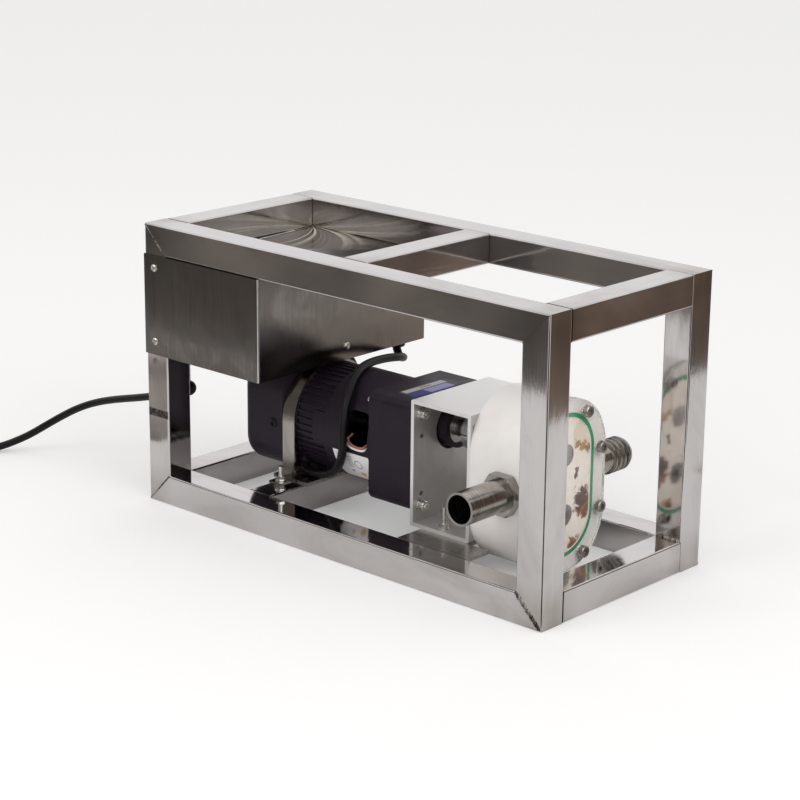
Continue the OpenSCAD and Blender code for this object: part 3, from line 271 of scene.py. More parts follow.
def plugBlade(setup, name):  # a flat blade whose tip narrows over its last 2 mm
    t = np.concatenate([[16.5], np.linspace(32.6, 34.8, 8)])
    narrow = np.sqrt(np.clip(1 - ((t - 32.6).clip(0) / 2.3) ** 2, 0.05, 1))[:, None]
    across, upward = roundedTurn(np.linspace(2 * np.pi, 0, 24, endpoint=False)[None], 0.3)
    side = setup["blades"][name] + 0.75 * narrow ** 0.5 * across
    return gridMesh(name, plugPlaced(setup, t[:, None] + 0 * side, side, 3.1 * narrow * upward), closeV=True, capU=True)


mainsPlug = plugBody(plugSetup)
plugBlades = [plugBlade(plugSetup, name) for name in plugSetup["blades"]]
for piece in [mainsPlug] + plugBlades:
    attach(piece, "frame")
    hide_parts("mains_plug")
cordTie = coilTie(mainsSetup, tieSetup)
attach(cordTie, "frame")

# Motor cable: from the box floor, over the motor and down behind the strap.
cableSetup = {
    "diameter": 0.007,
    "route": [
        (-0.0880, 0.0720, 0.1245), (-0.0864, 0.0714, 0.1212), (-0.0838, 0.0703, 0.1186), (-0.0802, 0.0686, 0.1173),
        (-0.0763, 0.0664, 0.1176), (-0.0725, 0.0636, 0.1190), (-0.0680, 0.0590, 0.1209), (-0.0638, 0.0538, 0.1229),
        (-0.0608, 0.0473, 0.1249), (-0.0592, 0.0395, 0.1265), (-0.0585, 0.0310, 0.1277), (-0.0576, 0.0215, 0.1286),
        (-0.0564, 0.0120, 0.1292), (-0.0545, 0.0025, 0.1294), (-0.0519, -0.0070, 0.1289), (-0.0489, -0.0158, 0.1272),
        (-0.0456, -0.0240, 0.1239), (-0.0422, -0.0308, 0.1200), (-0.0390, -0.0364, 0.1156), (-0.0366, -0.0418, 0.1089),
        (-0.0349, -0.0461, 0.0993), (-0.0339, -0.0487, 0.0886), (-0.0336, -0.0492, 0.0796), (-0.0346, -0.0484, 0.0706),
        (-0.0382, -0.0464, 0.0623), (-0.0436, -0.0437, 0.0550), (-0.0510, -0.0400, 0.0486), (-0.0605, -0.0362, 0.0432),
        (-0.0710, -0.0328, 0.0390), (-0.0800, -0.0308, 0.0368), (-0.0868, -0.0299, 0.0362), (-0.0920, -0.0292, 0.0370),
        (-0.0960, -0.0284, 0.0394), (-0.0986, -0.0272, 0.0426), (-0.0998, -0.0258, 0.0460)],
}
cableLine = smoothPath(cableSetup["route"], 0.003)
motorCable = tubeAlong("motorCable", cableLine, cableSetup["diameter"] / 2, 16)
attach(motorCable, "frame")
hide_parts("motor_cable")

# Two thin leads that loop through the window of the motor's front casting.
leadSetup = {
    "diameter": 0.0019,
    "motorLeadPale": [(-0.0352, -0.0380, 0.0816), (-0.0352, -0.0434, 0.0786), (-0.0330, -0.0440, 0.0759),
                      (-0.0290, -0.0443, 0.0742), (-0.0245, -0.0444, 0.0736), (-0.0195, -0.0443, 0.0735),
                      (-0.0153, -0.0437, 0.0743), (-0.0144, -0.0380, 0.0764)],
    "motorLeadPink": [(-0.0330, -0.0380, 0.0836), (-0.0330, -0.0434, 0.0806), (-0.0310, -0.0440, 0.0779),
                      (-0.0275, -0.0442, 0.0762), (-0.0235, -0.0443, 0.0756), (-0.0195, -0.0442, 0.0755),
                      (-0.0164, -0.0436, 0.0763), (-0.0156, -0.0380, 0.0784)],
}
leads = {}
for leadName in ("motorLeadPale", "motorLeadPink"):
    line = smoothPath(leadSetup[leadName], 0.0008)
    lead = tubeAlong(leadName, line, leadSetup["diameter"] / 2, 12)
    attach(lead, "frame")
    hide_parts("motor_leads")
    leads[leadName] = lead
print("cords and leads made")


def startMaterial(name, colour, **shader):  # a material with its shader set, and the object coordinates to build on
    made = bpy.data.materials.new(name)
    made.use_nodes = True
    tree = made.node_tree
    body = tree.nodes["Principled BSDF"]
    settings = {key.replace("_", " "): value for key, value in shader.items()}
    setSockets(tree, body, {"Base Color": hexToLinear(colour), **settings})
    return made, tree, body, addNode(tree, "TexCoord").outputs["Object"]


def boxMask(tree, place, low, high, soft):  # 1 inside a box and 0 outside, from how far a place is past its half size
    middle = [(a + b) / 2 for a, b in zip(low, high)]
    half = [(b - a) / 2 for a, b in zip(low, high)]
    off = addNode(tree, "VectorMath", {0: place, 1: middle}, operation="SUBTRACT")
    away = addNode(tree, "VectorMath", {0: off}, operation="ABSOLUTE")
    past = addNode(tree, "VectorMath", {0: away, 1: half}, operation="SUBTRACT")
    axes = addNode(tree, "SeparateXYZ", {"Vector": past})
    two = addNode(tree, "Math", {0: axes.outputs[0], 1: axes.outputs[1]}, operation="MAXIMUM")
    three = addNode(tree, "Math", {0: two, 1: axes.outputs[2]}, operation="MAXIMUM")
    return addNode(tree, "MapRange", {"Value": three}, From_Min=-soft, From_Max=soft, To_Min=1.0, To_Max=0.0)


# Sizes of the patterns are in mm. The tube's polishing lines are really finer than the render can show.
tubeLook = {"face": "#d4d0cf", "smear": "#aea8a4", "heat": "#7b6b55", "seam": "#3a3532", "burnt": "#2e2926",
            "roughness": 0.09, "lineMm": 0.45, "lineLengthMm": 71.43, "smearMm": 38.46, "smearLengthMm": 111.1,
            "blotMm": 3.3333}


# Stainless tube, mirror polished: it shows the room back, with fine lines down its length, hand smears and a straw
# tint by the welds. weldAt is the middle of the tube and how far its welds are from there.
def polishedTube(name, along, weldAt, stain=None, seamAt=None, look=tubeLook):
    made, tree, body, place = startMaterial(name, look["face"], Metallic=1.0)
    lineScale, smearScale = [1000 / look["lineMm"]] * 3, [1000 / look["smearMm"]] * 3
    lineScale[along], smearScale[along] = 1000 / look["lineLengthMm"], 1000 / look["smearLengthMm"]
    lines = addNode(tree, "Mapping", {"Vector": place}, Scale=lineScale)
    grain = addNode(tree, "TexNoise", {"Vector": lines}, Scale=1.0, Detail=3.0, Roughness=0.6)
    wide = addNode(tree, "Mapping", {"Vector": place}, Scale=smearScale)
    smear = addNode(tree, "TexNoise", {"Vector": wide}, Scale=1.0, Detail=5.0, Roughness=0.62, Distortion=0.8)
    smearPart = addNode(tree, "MapRange", {"Value": smear}, From_Min=0.46, From_Max=0.72, To_Max=0.55)
    axes = addNode(tree, "SeparateXYZ", {"Vector": place})
    off = addNode(tree, "Math", {0: axes.outputs[along], 1: weldAt[0]}, operation="SUBTRACT")
    span = addNode(tree, "Math", {0: off}, operation="ABSOLUTE")
    heat = addNode(tree, "MapRange", {"Value": span}, From_Min=weldAt[1] - 0.016, From_Max=weldAt[1] + 0.004,
                   To_Max=0.6)
    layers = [(smearPart, "smear"), (addNode(tree, "Math", {0: heat, 1: smear}, operation="MULTIPLY"), "heat")]
    if seamAt is not None:  # a thin dark seam where the tube ends against its neighbour
        seam = addNode(tree, "MapRange", {"Value": span}, From_Min=seamAt - 0.0006, From_Max=seamAt - 0.0004,
                       To_Max=0.9)
        layers.append((seam, "seam"))
    if stain is not None:  # a burnt band with soft blots across one face
        band = boxMask(tree, place, *stain, 0.0012)
        blots = addNode(tree, "TexNoise", {"Vector": place}, Scale=1000 / look["blotMm"], Detail=3.0, Roughness=0.6)
        uneven = addNode(tree, "MapRange", {"Value": blots}, To_Min=0.55, To_Max=1.15)
        rough = addNode(tree, "Math", {0: band, 1: uneven}, operation="MULTIPLY")
        deep = addNode(tree, "MapRange", {"Value": rough}, From_Min=0.38, From_Max=0.62, To_Max=0.9)
        layers.append((deep, "burnt"))
    coat = hexToLinear(look["face"])
    for part, tint in layers:
        coat = addNode(tree, "Mix", {"Factor": part, "A": coat, "B": hexToLinear(look[tint])}, data_type="RGBA")
    matt = addNode(tree, "Math", {0: grain, 1: smear}, operation="MULTIPLY")
    sheen = addNode(tree, "MapRange", {"Value": matt}, From_Min=0.15, From_Max=0.45,
                    To_Min=look["roughness"] - 0.03, To_Max=look["roughness"] + 0.07)
    relief = addNode(tree, "Bump", {"Height": grain}, Strength=0.10, Distance=0.00003)
    waves = addNode(tree, "Bump", {"Height": smear, "Normal": relief}, Strength=0.35, Distance=0.0004)
    setSockets(tree, body, {"Base Color": coat, "Roughness": sheen, "Normal": waves})
    return made


# Stainless sheet, brushed: a satin face with fine lines and cloudy handling marks. Lines that would be too fine to
# show are drawn wider, at lineMm along each axis.
# Its fan streaks, bright edges and tinted boxes are painted highlights and painted shadows.
def brushedSheet(name, colour, roughness, lineMm, swirl=0.0, highlightEdgeY=None, spots=(), warpMm=0.0, relief=0.25, fanAt=None,
                 cloudMm=29.412, buckleMm=90.91, highlightStreakTint="#fbf6da", edgeHighlightTint="#efedeb"):
    made, tree, body, place = startMaterial(name, colour, Metallic=1.0)
    lines = addNode(tree, "Mapping", {"Vector": place}, Scale=[1000 / size for size in lineMm])
    grain = addNode(tree, "TexNoise", {"Vector": lines}, Scale=1.0, Detail=4.0, Roughness=0.65, Distortion=swirl)
    cloud = addNode(tree, "TexNoise", {"Vector": place}, Scale=1000 / cloudMm, Detail=5.0, Roughness=0.6,
                    Distortion=1.1)
    tone = addNode(tree, "MapRange", {"Value": cloud}, From_Min=0.35, From_Max=0.75, To_Max=0.5)
    layers = [(tone, hexToLinear(colour, 0.72))]
    if fanAt is not None:  # painted highlight: pale streaks that fan out from one corner, where the polishing wheel turned, stand for the sheen of the swirl polish
        centred = addNode(tree, "Mapping", {"Vector": place}, Location=[-v for v in fanAt])
        axes = addNode(tree, "SeparateXYZ", {"Vector": centred})
        angle = addNode(tree, "Math", {0: axes.outputs[1], 1: axes.outputs[0]}, operation="ARCTAN2")
        away = addNode(tree, "VectorMath", {0: centred}, operation="LENGTH")
        bent = addNode(tree, "Math", {0: away, 1: 6.0, 2: angle}, operation="MULTIPLY_ADD")  # bent as they run out
        streaks = addNode(tree, "TexNoise", {"W": bent}, noise_dimensions="1D", Scale=6.5, Detail=2.0, Roughness=0.5)
        fan = addNode(tree, "MapRange", {"Value": streaks}, From_Min=0.5, From_Max=0.62)
        fade = addNode(tree, "MapRange", {"Value": away}, From_Min=0.01, From_Max=0.1, To_Min=1.0, To_Max=0.0)
        lit = addNode(tree, "Math", {0: fan, 1: fade}, operation="MULTIPLY")
        layers.append((lit, hexToLinear(highlightStreakTint)))
        setSockets(tree, body, {"Metallic": addNode(tree, "MapRange", {"Value": lit}, To_Min=1.0, To_Max=0.1)})
    if highlightEdgeY is not None:  # painted highlight: the cut edges of the plate are painted bright where they catch the light
        axes = addNode(tree, "SeparateXYZ", {"Vector": place})
        flat = addNode(tree, "Math", {0: axes.outputs[1]}, operation="ABSOLUTE")
        edge = addNode(tree, "MapRange", {"Value": flat}, From_Min=highlightEdgeY - 0.0003, From_Max=highlightEdgeY - 0.0001)
        layers.append((edge, hexToLinear(edgeHighlightTint)))
        body.inputs["Metallic"].default_value = 0.6
    # boxes of flat tint: painted highlights and painted shadows laid on the sheet
    for low, high, tint in spots:
        layers.append((boxMask(tree, place, low, high, 0.0002), hexToLinear(tint)))
    coat = hexToLinear(colour)
    for part, tint in layers:
        coat = addNode(tree, "Mix", {"Factor": part, "A": coat, "B": tint}, data_type="RGBA")
    mixed = addNode(tree, "Math", {0: grain, 1: cloud}, operation="ADD")
    sheen = addNode(tree, "MapRange", {"Value": mixed}, From_Min=0.7, From_Max=1.3,
                    To_Min=roughness - 0.04, To_Max=roughness + 0.07)
    skin = addNode(tree, "Bump", {"Height": grain}, Strength=relief, Distance=0.00004)
    if warpMm:  # the thin sheet is slightly buckled, so it bends what it mirrors
        buckle = addNode(tree, "TexNoise", {"Vector": place}, Scale=1000 / buckleMm, Detail=1.0, Distortion=1.6)
        skin = addNode(tree, "Bump", {"Height": buckle, "Normal": skin}, Strength=1.0, Distance=warpMm / 1000)
    setSockets(tree, body, {"Base Color": coat, "Roughness": sheen, "Normal": skin})
    return made


# Steel, bronze or alloy turned in a lathe: rings across the axis, satin where the tool cut and darker in its marks.
# The pitch is that of the tool marks, drawn as coarse as it needs to show.
def turnedSteel(name, colour, roughness, axis, pitchMm=0.5, low="#5d5955", depth=0.55, cloudMm=14.286):
    made, tree, body, place = startMaterial(name, colour, Metallic=1.0)
    axes = addNode(tree, "SeparateXYZ", {"Vector": place})
    rings = addNode(tree, "TexNoise", {"W": axes.outputs[axis]}, noise_dimensions="1D", Scale=1000 / pitchMm,
                    Detail=3.0, Roughness=0.7)
    cloud = addNode(tree, "TexNoise", {"Vector": place}, Scale=1000 / cloudMm, Detail=4.0)
    both = addNode(tree, "Math", {0: rings, 1: cloud}, operation="MULTIPLY")
    tone = addNode(tree, "MapRange", {"Value": both}, From_Min=0.18, From_Max=0.36, To_Min=depth, To_Max=0.0)
    coat = addNode(tree, "Mix", {"Factor": tone, "A": hexToLinear(colour), "B": hexToLinear(low)}, data_type="RGBA")
    sheen = addNode(tree, "MapRange", {"Value": rings}, From_Min=0.3, From_Max=0.7,
                    To_Min=roughness - 0.06, To_Max=roughness + 0.1)
    relief = addNode(tree, "Bump", {"Height": rings}, Strength=0.3, Distance=0.00005)
    setSockets(tree, body, {"Base Color": coat, "Roughness": sheen, "Normal": relief})
    return made


# Satin black paint sprayed on cast alloy: soft grain that dulls the shine, and thin dust.
def castPaint(name, colour, roughness, grainMm, depthMm, dust="#5d5860", cloudMm=23.81):
    made, tree, body, place = startMaterial(name, colour, Specular_IOR_Level=0.2)
    grain = addNode(tree, "TexNoise", {"Vector": place}, Scale=1000 / grainMm, Detail=3.0, Roughness=0.55)
    cloud = addNode(tree, "TexNoise", {"Vector": place}, Scale=1000 / cloudMm, Detail=6.0, Roughness=0.62,
                    Distortion=0.5)
    tone = addNode(tree, "MapRange", {"Value": cloud}, From_Min=0.45, From_Max=0.8, To_Max=0.08)
    coat = addNode(tree, "Mix", {"Factor": tone, "A": hexToLinear(colour), "B": hexToLinear(dust)}, data_type="RGBA")
    sheen = addNode(tree, "MapRange", {"Value": cloud}, From_Min=0.3, From_Max=0.75,
                    To_Min=roughness - 0.07, To_Max=roughness + 0.12)
    relief = addNode(tree, "Bump", {"Height": grain}, Strength=0.35, Distance=depthMm / 1000)
    setSockets(tree, body, {"Base Color": coat, "Roughness": sheen, "Normal": relief})
    return made


# White engineering plastic, milled: waxy and slightly see-through, with faint cutter lines and grey hand marks.
def machinedWhite(name, colour, shade, roughness, cutterMm=(1.1111, 25, 25), cloudMm=33.333):
    made, tree, body, place = startMaterial(name, colour, Subsurface_Weight=0.12, Subsurface_Scale=0.006,
                                            Subsurface_Radius=(1.0, 0.75, 0.6))
    lines = addNode(tree, "Mapping", {"Vector": place}, Scale=[1000 / size for size in cutterMm])
    cutter = addNode(tree, "TexNoise", {"Vector": lines}, Scale=1.0, Detail=2.0)
    cloud = addNode(tree, "TexNoise", {"Vector": place}, Scale=1000 / cloudMm, Detail=6.0, Roughness=0.6)
    tone = addNode(tree, "MapRange", {"Value": cloud}, From_Min=0.5, From_Max=0.8, To_Max=0.5)
    coat = addNode(tree, "Mix", {"Factor": tone, "A": hexToLinear(colour), "B": hexToLinear(shade)}, data_type="RGBA")
    sheen = addNode(tree, "MapRange", {"Value": cutter}, From_Min=0.3, From_Max=0.7,
                    To_Min=roughness - 0.05, To_Max=roughness + 0.08)
    relief = addNode(tree, "Bump", {"Height": cutter}, Strength=0.2, Distance=0.00004)
    setSockets(tree, body, {"Base Color": coat, "Roughness": sheen, "Normal": relief})
    return made


stainSetup = {
    "plastic": "#efe6da", "pale": "#f3eae0", "yellowed": "#d9c3a4", "patchMm": 8.3333, "ragged": 3.2,
    "spots": [  # place on the wear plate, size, colour: pump residue seen through the cover
        ((0.1514, 0.0180, 0.1130), 0.0120, "#e4d6c2"), ((0.1514, 0.0140, 0.1055), 0.0040, "#a8834a"),
        ((0.1514, 0.0200, 0.1020), 0.0042, "#b08a4c"), ((0.1514, 0.0262, 0.0985), 0.0045, "#96703a"),
        ((0.1514, 0.0232, 0.0560), 0.0118, "#9a5a34"), ((0.1514, 0.0200, 0.0600), 0.0098, "#431b0a"),
        ((0.1514, 0.0240, 0.0480), 0.0058, "#7c4526"), ((0.1514, 0.0125, 0.0235), 0.0090, "#a5602a"),
        ((0.1514, 0.0115, 0.0215), 0.0055, "#6a3414"), ((0.1514, 0.0128, 0.0840), 0.0034, "#2c1a10"),
        ((0.1514, 0.0128, 0.0800), 0.0028, "#33201a"), ((0.1514, -0.0150, 0.0640), 0.0090, "#a5805a"),
        ((0.1514, -0.0200, 0.1080), 0.0080, "#c4a878"), ((0.1514, -0.0170, 0.0300), 0.0075, "#8f6440")],
}


# Cream wear plastic, milled flat and stained in use: milk-white with ragged brown and yellow residue.
def stainedWearPlate(name, setup):
    made, tree, body, place = startMaterial(name, setup["plastic"], Roughness=0.42)
    cloud = addNode(tree, "TexNoise", {"Vector": place}, Scale=1000 / setup["patchMm"], Detail=6.0, Roughness=0.6,
                    Distortion=0.9)
    tone = addNode(tree, "MapRange", {"Value": cloud}, From_Min=0.42, From_Max=0.8, To_Max=0.55)
    layers = [(tone, setup["yellowed"])]
    for centre, size, tint in setup["spots"]:
        away = addNode(tree, "VectorMath", {0: place, 1: centre}, operation="DISTANCE")
        ragged = addNode(tree, "Math", {0: cloud, 1: -size * setup["ragged"], 2: away}, operation="MULTIPLY_ADD")
        layers.append((addNode(tree, "MapRange", {"Value": ragged}, From_Min=-size * 0.95, From_Max=-size * 0.55,
                               To_Min=0.95, To_Max=0.0), tint))
    coat = hexToLinear(setup["pale"])
    for part, tint in layers:
        coat = addNode(tree, "Mix", {"Factor": part, "A": coat, "B": hexToLinear(tint)}, data_type="RGBA")
    relief = addNode(tree, "Bump", {"Height": cloud}, Strength=0.2, Distance=0.0001)
    setSockets(tree, body, {"Base Color": coat, "Normal": relief})
    return made


# Clear acrylic, sawn and flame polished: glassy faces, and milky edges where the saw went.
def clearCover(name, node, hazeMm=8.3333):
    made, tree, body, place = startMaterial(name, "#ffffff", Transmission_Weight=0.98, IOR=1.4)
    corners = np.zeros(len(node.data.vertices) * 3)
    node.data.vertices.foreach_get("co", corners)
    back, front = float(corners[::3].min()), float(corners[::3].max())
    half = (front - back) / 2
    axes = addNode(tree, "SeparateXYZ", {"Vector": place})
    off = addNode(tree, "Math", {0: axes.outputs[0], 1: (front + back) / 2}, operation="SUBTRACT")
    depth = addNode(tree, "Math", {0: off}, operation="ABSOLUTE")
    haze = addNode(tree, "TexNoise", {"Vector": place}, Scale=1000 / hazeMm, Detail=4.0)
    edge = addNode(tree, "MapRange", {"Value": depth}, From_Min=half - 0.0003, From_Max=half - 0.0001,
                   To_Min=0.8, To_Max=0.03)
    setSockets(tree, body, {"Roughness": addNode(tree, "Math", {0: edge, 1: haze}, operation="MULTIPLY")})
    return made


# Rubber or vinyl, moulded or extruded: a soft low sheen, with faint dust in broad patches.
def mouldedRubber(name, colour, roughness, grainMm=0.35, patchMm=16.667):
    made, tree, body, place = startMaterial(name, colour, Specular_IOR_Level=0.25)
    grain = addNode(tree, "TexNoise", {"Vector": place}, Scale=1000 / grainMm, Detail=2.0)
    cloud = addNode(tree, "TexNoise", {"Vector": place}, Scale=1000 / patchMm, Detail=4.0)
    tone = addNode(tree, "MapRange", {"Value": cloud}, From_Min=0.4, From_Max=0.75, To_Max=0.6)
    dusty = hexToLinear(colour, 1.5, 0.003)
    coat = addNode(tree, "Mix", {"Factor": tone, "A": hexToLinear(colour), "B": dusty}, data_type="RGBA")
    sheen = addNode(tree, "MapRange", {"Value": cloud}, From_Min=0.3, From_Max=0.7,
                    To_Min=roughness - 0.06, To_Max=roughness + 0.08)
    relief = addNode(tree, "Bump", {"Height": grain}, Strength=0.2, Distance=0.00004)
    setSockets(tree, body, {"Base Color": coat, "Roughness": sheen, "Normal": relief})
    return made


finishes = {
    "railTube": polishedTube("polishedTubeRails", 0, (0.0, 0.2)),
    "crossTube": polishedTube("polishedTubeCross", 1, (0.0, 0.070), seamAt=0.072),
    "postTube": polishedTube("polishedTubePosts", 2, (0.1185, 0.1)),
    "markedPost": polishedTube("polishedTubeMarkedPost", 2, (0.1185, 0.1),
                               stain=((-0.2135, -0.0975, 0.0742), (-0.1880, -0.0955, 0.0812))),
    "boxSheet": brushedSheet("brushedBoxSheet", "#8d8884", 0.17, (2.381, 2.381, 71.43), relief=0.03, warpMm=0.35,
                             # painted highlight of the bend: a near-white strip along the fold, partly worn bright
                             # metal
                             spots=[((-0.0800, -0.0990, 0.1270), (-0.0780, -0.0969, 0.2130), "#f6f4f2"),
                                    # painted shadow: a near-black line along the top edge of the wrap, under the top
                                    # rail
                                    ((-0.1880, -0.0990, 0.2118), (-0.0800, -0.0970, 0.2125), "#171412")]),
    # lid: its fan streaks are a painted highlight of the swirl polish
    "lidSheet": brushedSheet("swirlPolishedLid", "#827c77", 0.12, (4.1667, 4.1667, 4.1667), swirl=2.2, warpMm=1.2,
                             relief=0.08, fanAt=(-0.1875, 0.0715, 0.2118)),
    "strapSteel": brushedSheet("brushedStrap", "#aca6a0", 0.2, (1.1111, 62.5, 62.5), relief=0.02),
    "plateSteel": brushedSheet("brushedPlate", "#aea9a5", 0.26, (33.333, 2, 2), relief=0.02),
    # bracket plate: its cut edges carry a painted highlight
    "bracketPlate": brushedSheet("satinBracketPlate", "#c6c3c0", 0.36, (1.4286, 1.4286, 20), highlightEdgeY=0.045, relief=0.06,
                                 # painted highlight: the bracket's top face is tinted near-white, lighter than its
                                 # sides
                                 spots=[((0.0300, -0.0460, 0.1275), (0.1000, 0.0460, 0.1290), "#f0eeec")]),
    "tailSteel": turnedSteel("turnedTailSteel", "#b5b0aa", 0.2, 1, 0.7),
    "boltSteel": turnedSteel("brightBoltSteel", "#efece7", 0.22, 2, 0.4, low="#a5a29e"),
    "screwSteel": turnedSteel("greyScrewSteel", "#b9b5b0", 0.3, 0, 0.4, low="#6a6662"),
    # painted shade: the fan cover screws are near-black for the shade of their recessed holes, over a dark screw
    "paintedShadeScrew": turnedSteel("paintedShadeScrew", "#3a3539", 0.2, 1, 0.5, low="#100d0f"),
    "shaftSteel": turnedSteel("groundShaftSteel", "#b9b5b1", 0.24, 0, 0.4),
    "couplingAlloy": turnedSteel("turnedCouplingAlloy", "#d3d3d5", 0.28, 0, 0.5, low="#8f9092"),
    "canAlloy": turnedSteel("drawnCanAlloy", "#c4c4c2", 0.3, 0, 0.8, low="#8f9092"),
    "coreSteel": turnedSteel("stackedCoreSteel", "#6f6862", 0.5, 0, 0.6, low="#3a3430"),
    "bushBronze": turnedSteel("sinteredBronze", "#b08a4f", 0.45, 0, 0.5, low="#6e5229"),
    "weldSteel": turnedSteel("asWeldedSteel", "#bdb7b1", 0.3, 0, 1.1, low="#241f1c", depth=1.0),
    "motorPaint": castPaint("satinBlackCastPaint", "#221a24", 0.42, 0.5, 0.05),
    "fanPaint": castPaint("satinBlackSheetPaint", "#272029", 0.44, 0.35, 0.02),
    "seamDark": castPaint("darkSeamLine", "#3a3532", 0.5, 0.3, 0.01),
    # painted highlight: a white strip for the bright gap line behind the lid, worn by lidGapGlint
    "gapHighlight": castPaint("paintedGapHighlight", "#fbfaf8", 0.4, 0.3, 0.01, dust="#d0cdc9"),
    "pumpWhite": machinedWhite("machinedWhitePlastic", "#fbf6f2", "#e9e2dc", 0.36),
    "gearPlastic": machinedWhite("machinedCreamPlastic", "#e8dcc9", "#bfa884", 0.4),
    "wearPlate": stainedWearPlate("stainedWearPlastic", stainSetup),
    "clearPlate": clearCover("polishedClearPlastic", cadNodes["pump_cover"]),
    "greenRubber": mouldedRubber("greenSealRubber", "#0c8a52", 0.35),
    "blackRubber": mouldedRubber("blackCordVinyl", "#0f0c0e", 0.4),
    "blackPlastic": mouldedRubber("blackMouldedPlastic", "#1d1b1d", 0.45, 0.6),
    "paleWire": mouldedRubber("paleWireVinyl", "#eae4e0", 0.4),
    "pinkWire": mouldedRubber("pinkBrownWireVinyl", "#a4685f", 0.4),
}
dressing = {  # finish: the CAD nodes that wear it
    "railTube": ["near_bottom_rail", "near_top_rail", "far_bottom_rail", "far_top_rail"],
    "postTube": ["near_right_post", "far_left_post", "far_right_post"],
    "markedPost": ["near_left_post"],
    "crossTube": ["top_left_tube", "top_middle_tube", "top_right_tube", "bottom_left_tube", "bottom_right_tube",
                  "motor_cross_tube"],
    "strapSteel": ["motor_strap"],
    "plateSteel": ["motor_base_plate", "pump_deck_plate"],
    "boxSheet": ["control_box_wrap", "control_box_tray"],
    "lidSheet": ["control_box_lid"],
    "bracketPlate": ["pump_bracket"],
    "tailSteel": ["near_hose_tail", "far_hose_barb"],
    "boltSteel": ["control_box_screws", "strap_bolts", "bracket_bolts"],
    "screwSteel": ["cover_screws"],
    "shaftSteel": ["motor_shaft", "shaft_bearings", "output_gear", "output_shaft", "drive_shaft", "driven_shaft"],
    "couplingAlloy": ["shaft_coupling"],
    "motorPaint": ["motor_housing", "front_shield", "gearbox_housing"],
    "fanPaint": ["fan_cover", "rear_shield"],
    "blackPlastic": ["cooling_fan", "terminal_block", "mains_gland", "mains_plug"],
    "blackRubber": ["cable_grommet", "rubber_pads", "shaft_seal", "motor_cable", "mains_cord", "cord_coil"],
    "canAlloy": ["run_capacitor"],
    "coreSteel": ["rotor_core", "stator"],
    "pumpWhite": ["pump_body"],
    "gearPlastic": ["drive_gear", "driven_gear"],
    "wearPlate": ["wear_plate"],
    "clearPlate": ["pump_cover"],
    "greenRubber": ["cover_seal"],
    "bushBronze": ["shaft_bushes"],
    "paleWire": ["motor_leads"],
}
for finish, names in dressing.items():
    for nodeName in names:
        mesh = cadNodes[nodeName].data
        if not mesh.materials:
            mesh.materials.append(finishes[finish])
        for i in range(len(mesh.materials)):
            mesh.materials[i] = finishes[finish]
for finish, pieces in {"blackRubber": [mainsCord, motorCable], "blackPlastic": [cordTie, mainsPlug],
                       "boltSteel": plugBlades, "paleWire": [leads["motorLeadPale"]],
                       "pinkWire": [leads["motorLeadPink"]]}.items():
    for piece in pieces:
        piece.data.materials.append(finishes[finish])
cadNodes["pump_cover"].visible_shadow = False  # clear plastic lets the lamps reach the wear plate
print("finishes set on", sum(len(v) for v in dressing.values()), "nodes")


def uvSheet(name, points):  # a sheet whose UV map runs 0 to 1 along both parameters
    made = gridMesh(name, points)
    nu, nv = points.shape[:2]
    u, v = np.meshgrid(np.linspace(0, 1, nu), np.linspace(0, 1, nv), indexing="ij")
    perVertex = np.stack([u.ravel(), v.ravel()], axis=1)
    loops = np.zeros(len(made.data.loops), np.int32)
    made.data.loops.foreach_get("vertex_index", loops)
    layer = made.data.uv_layers.new(name="sheetMap")
    layer.data.foreach_set("uv", perVertex[loops].ravel())
    return made


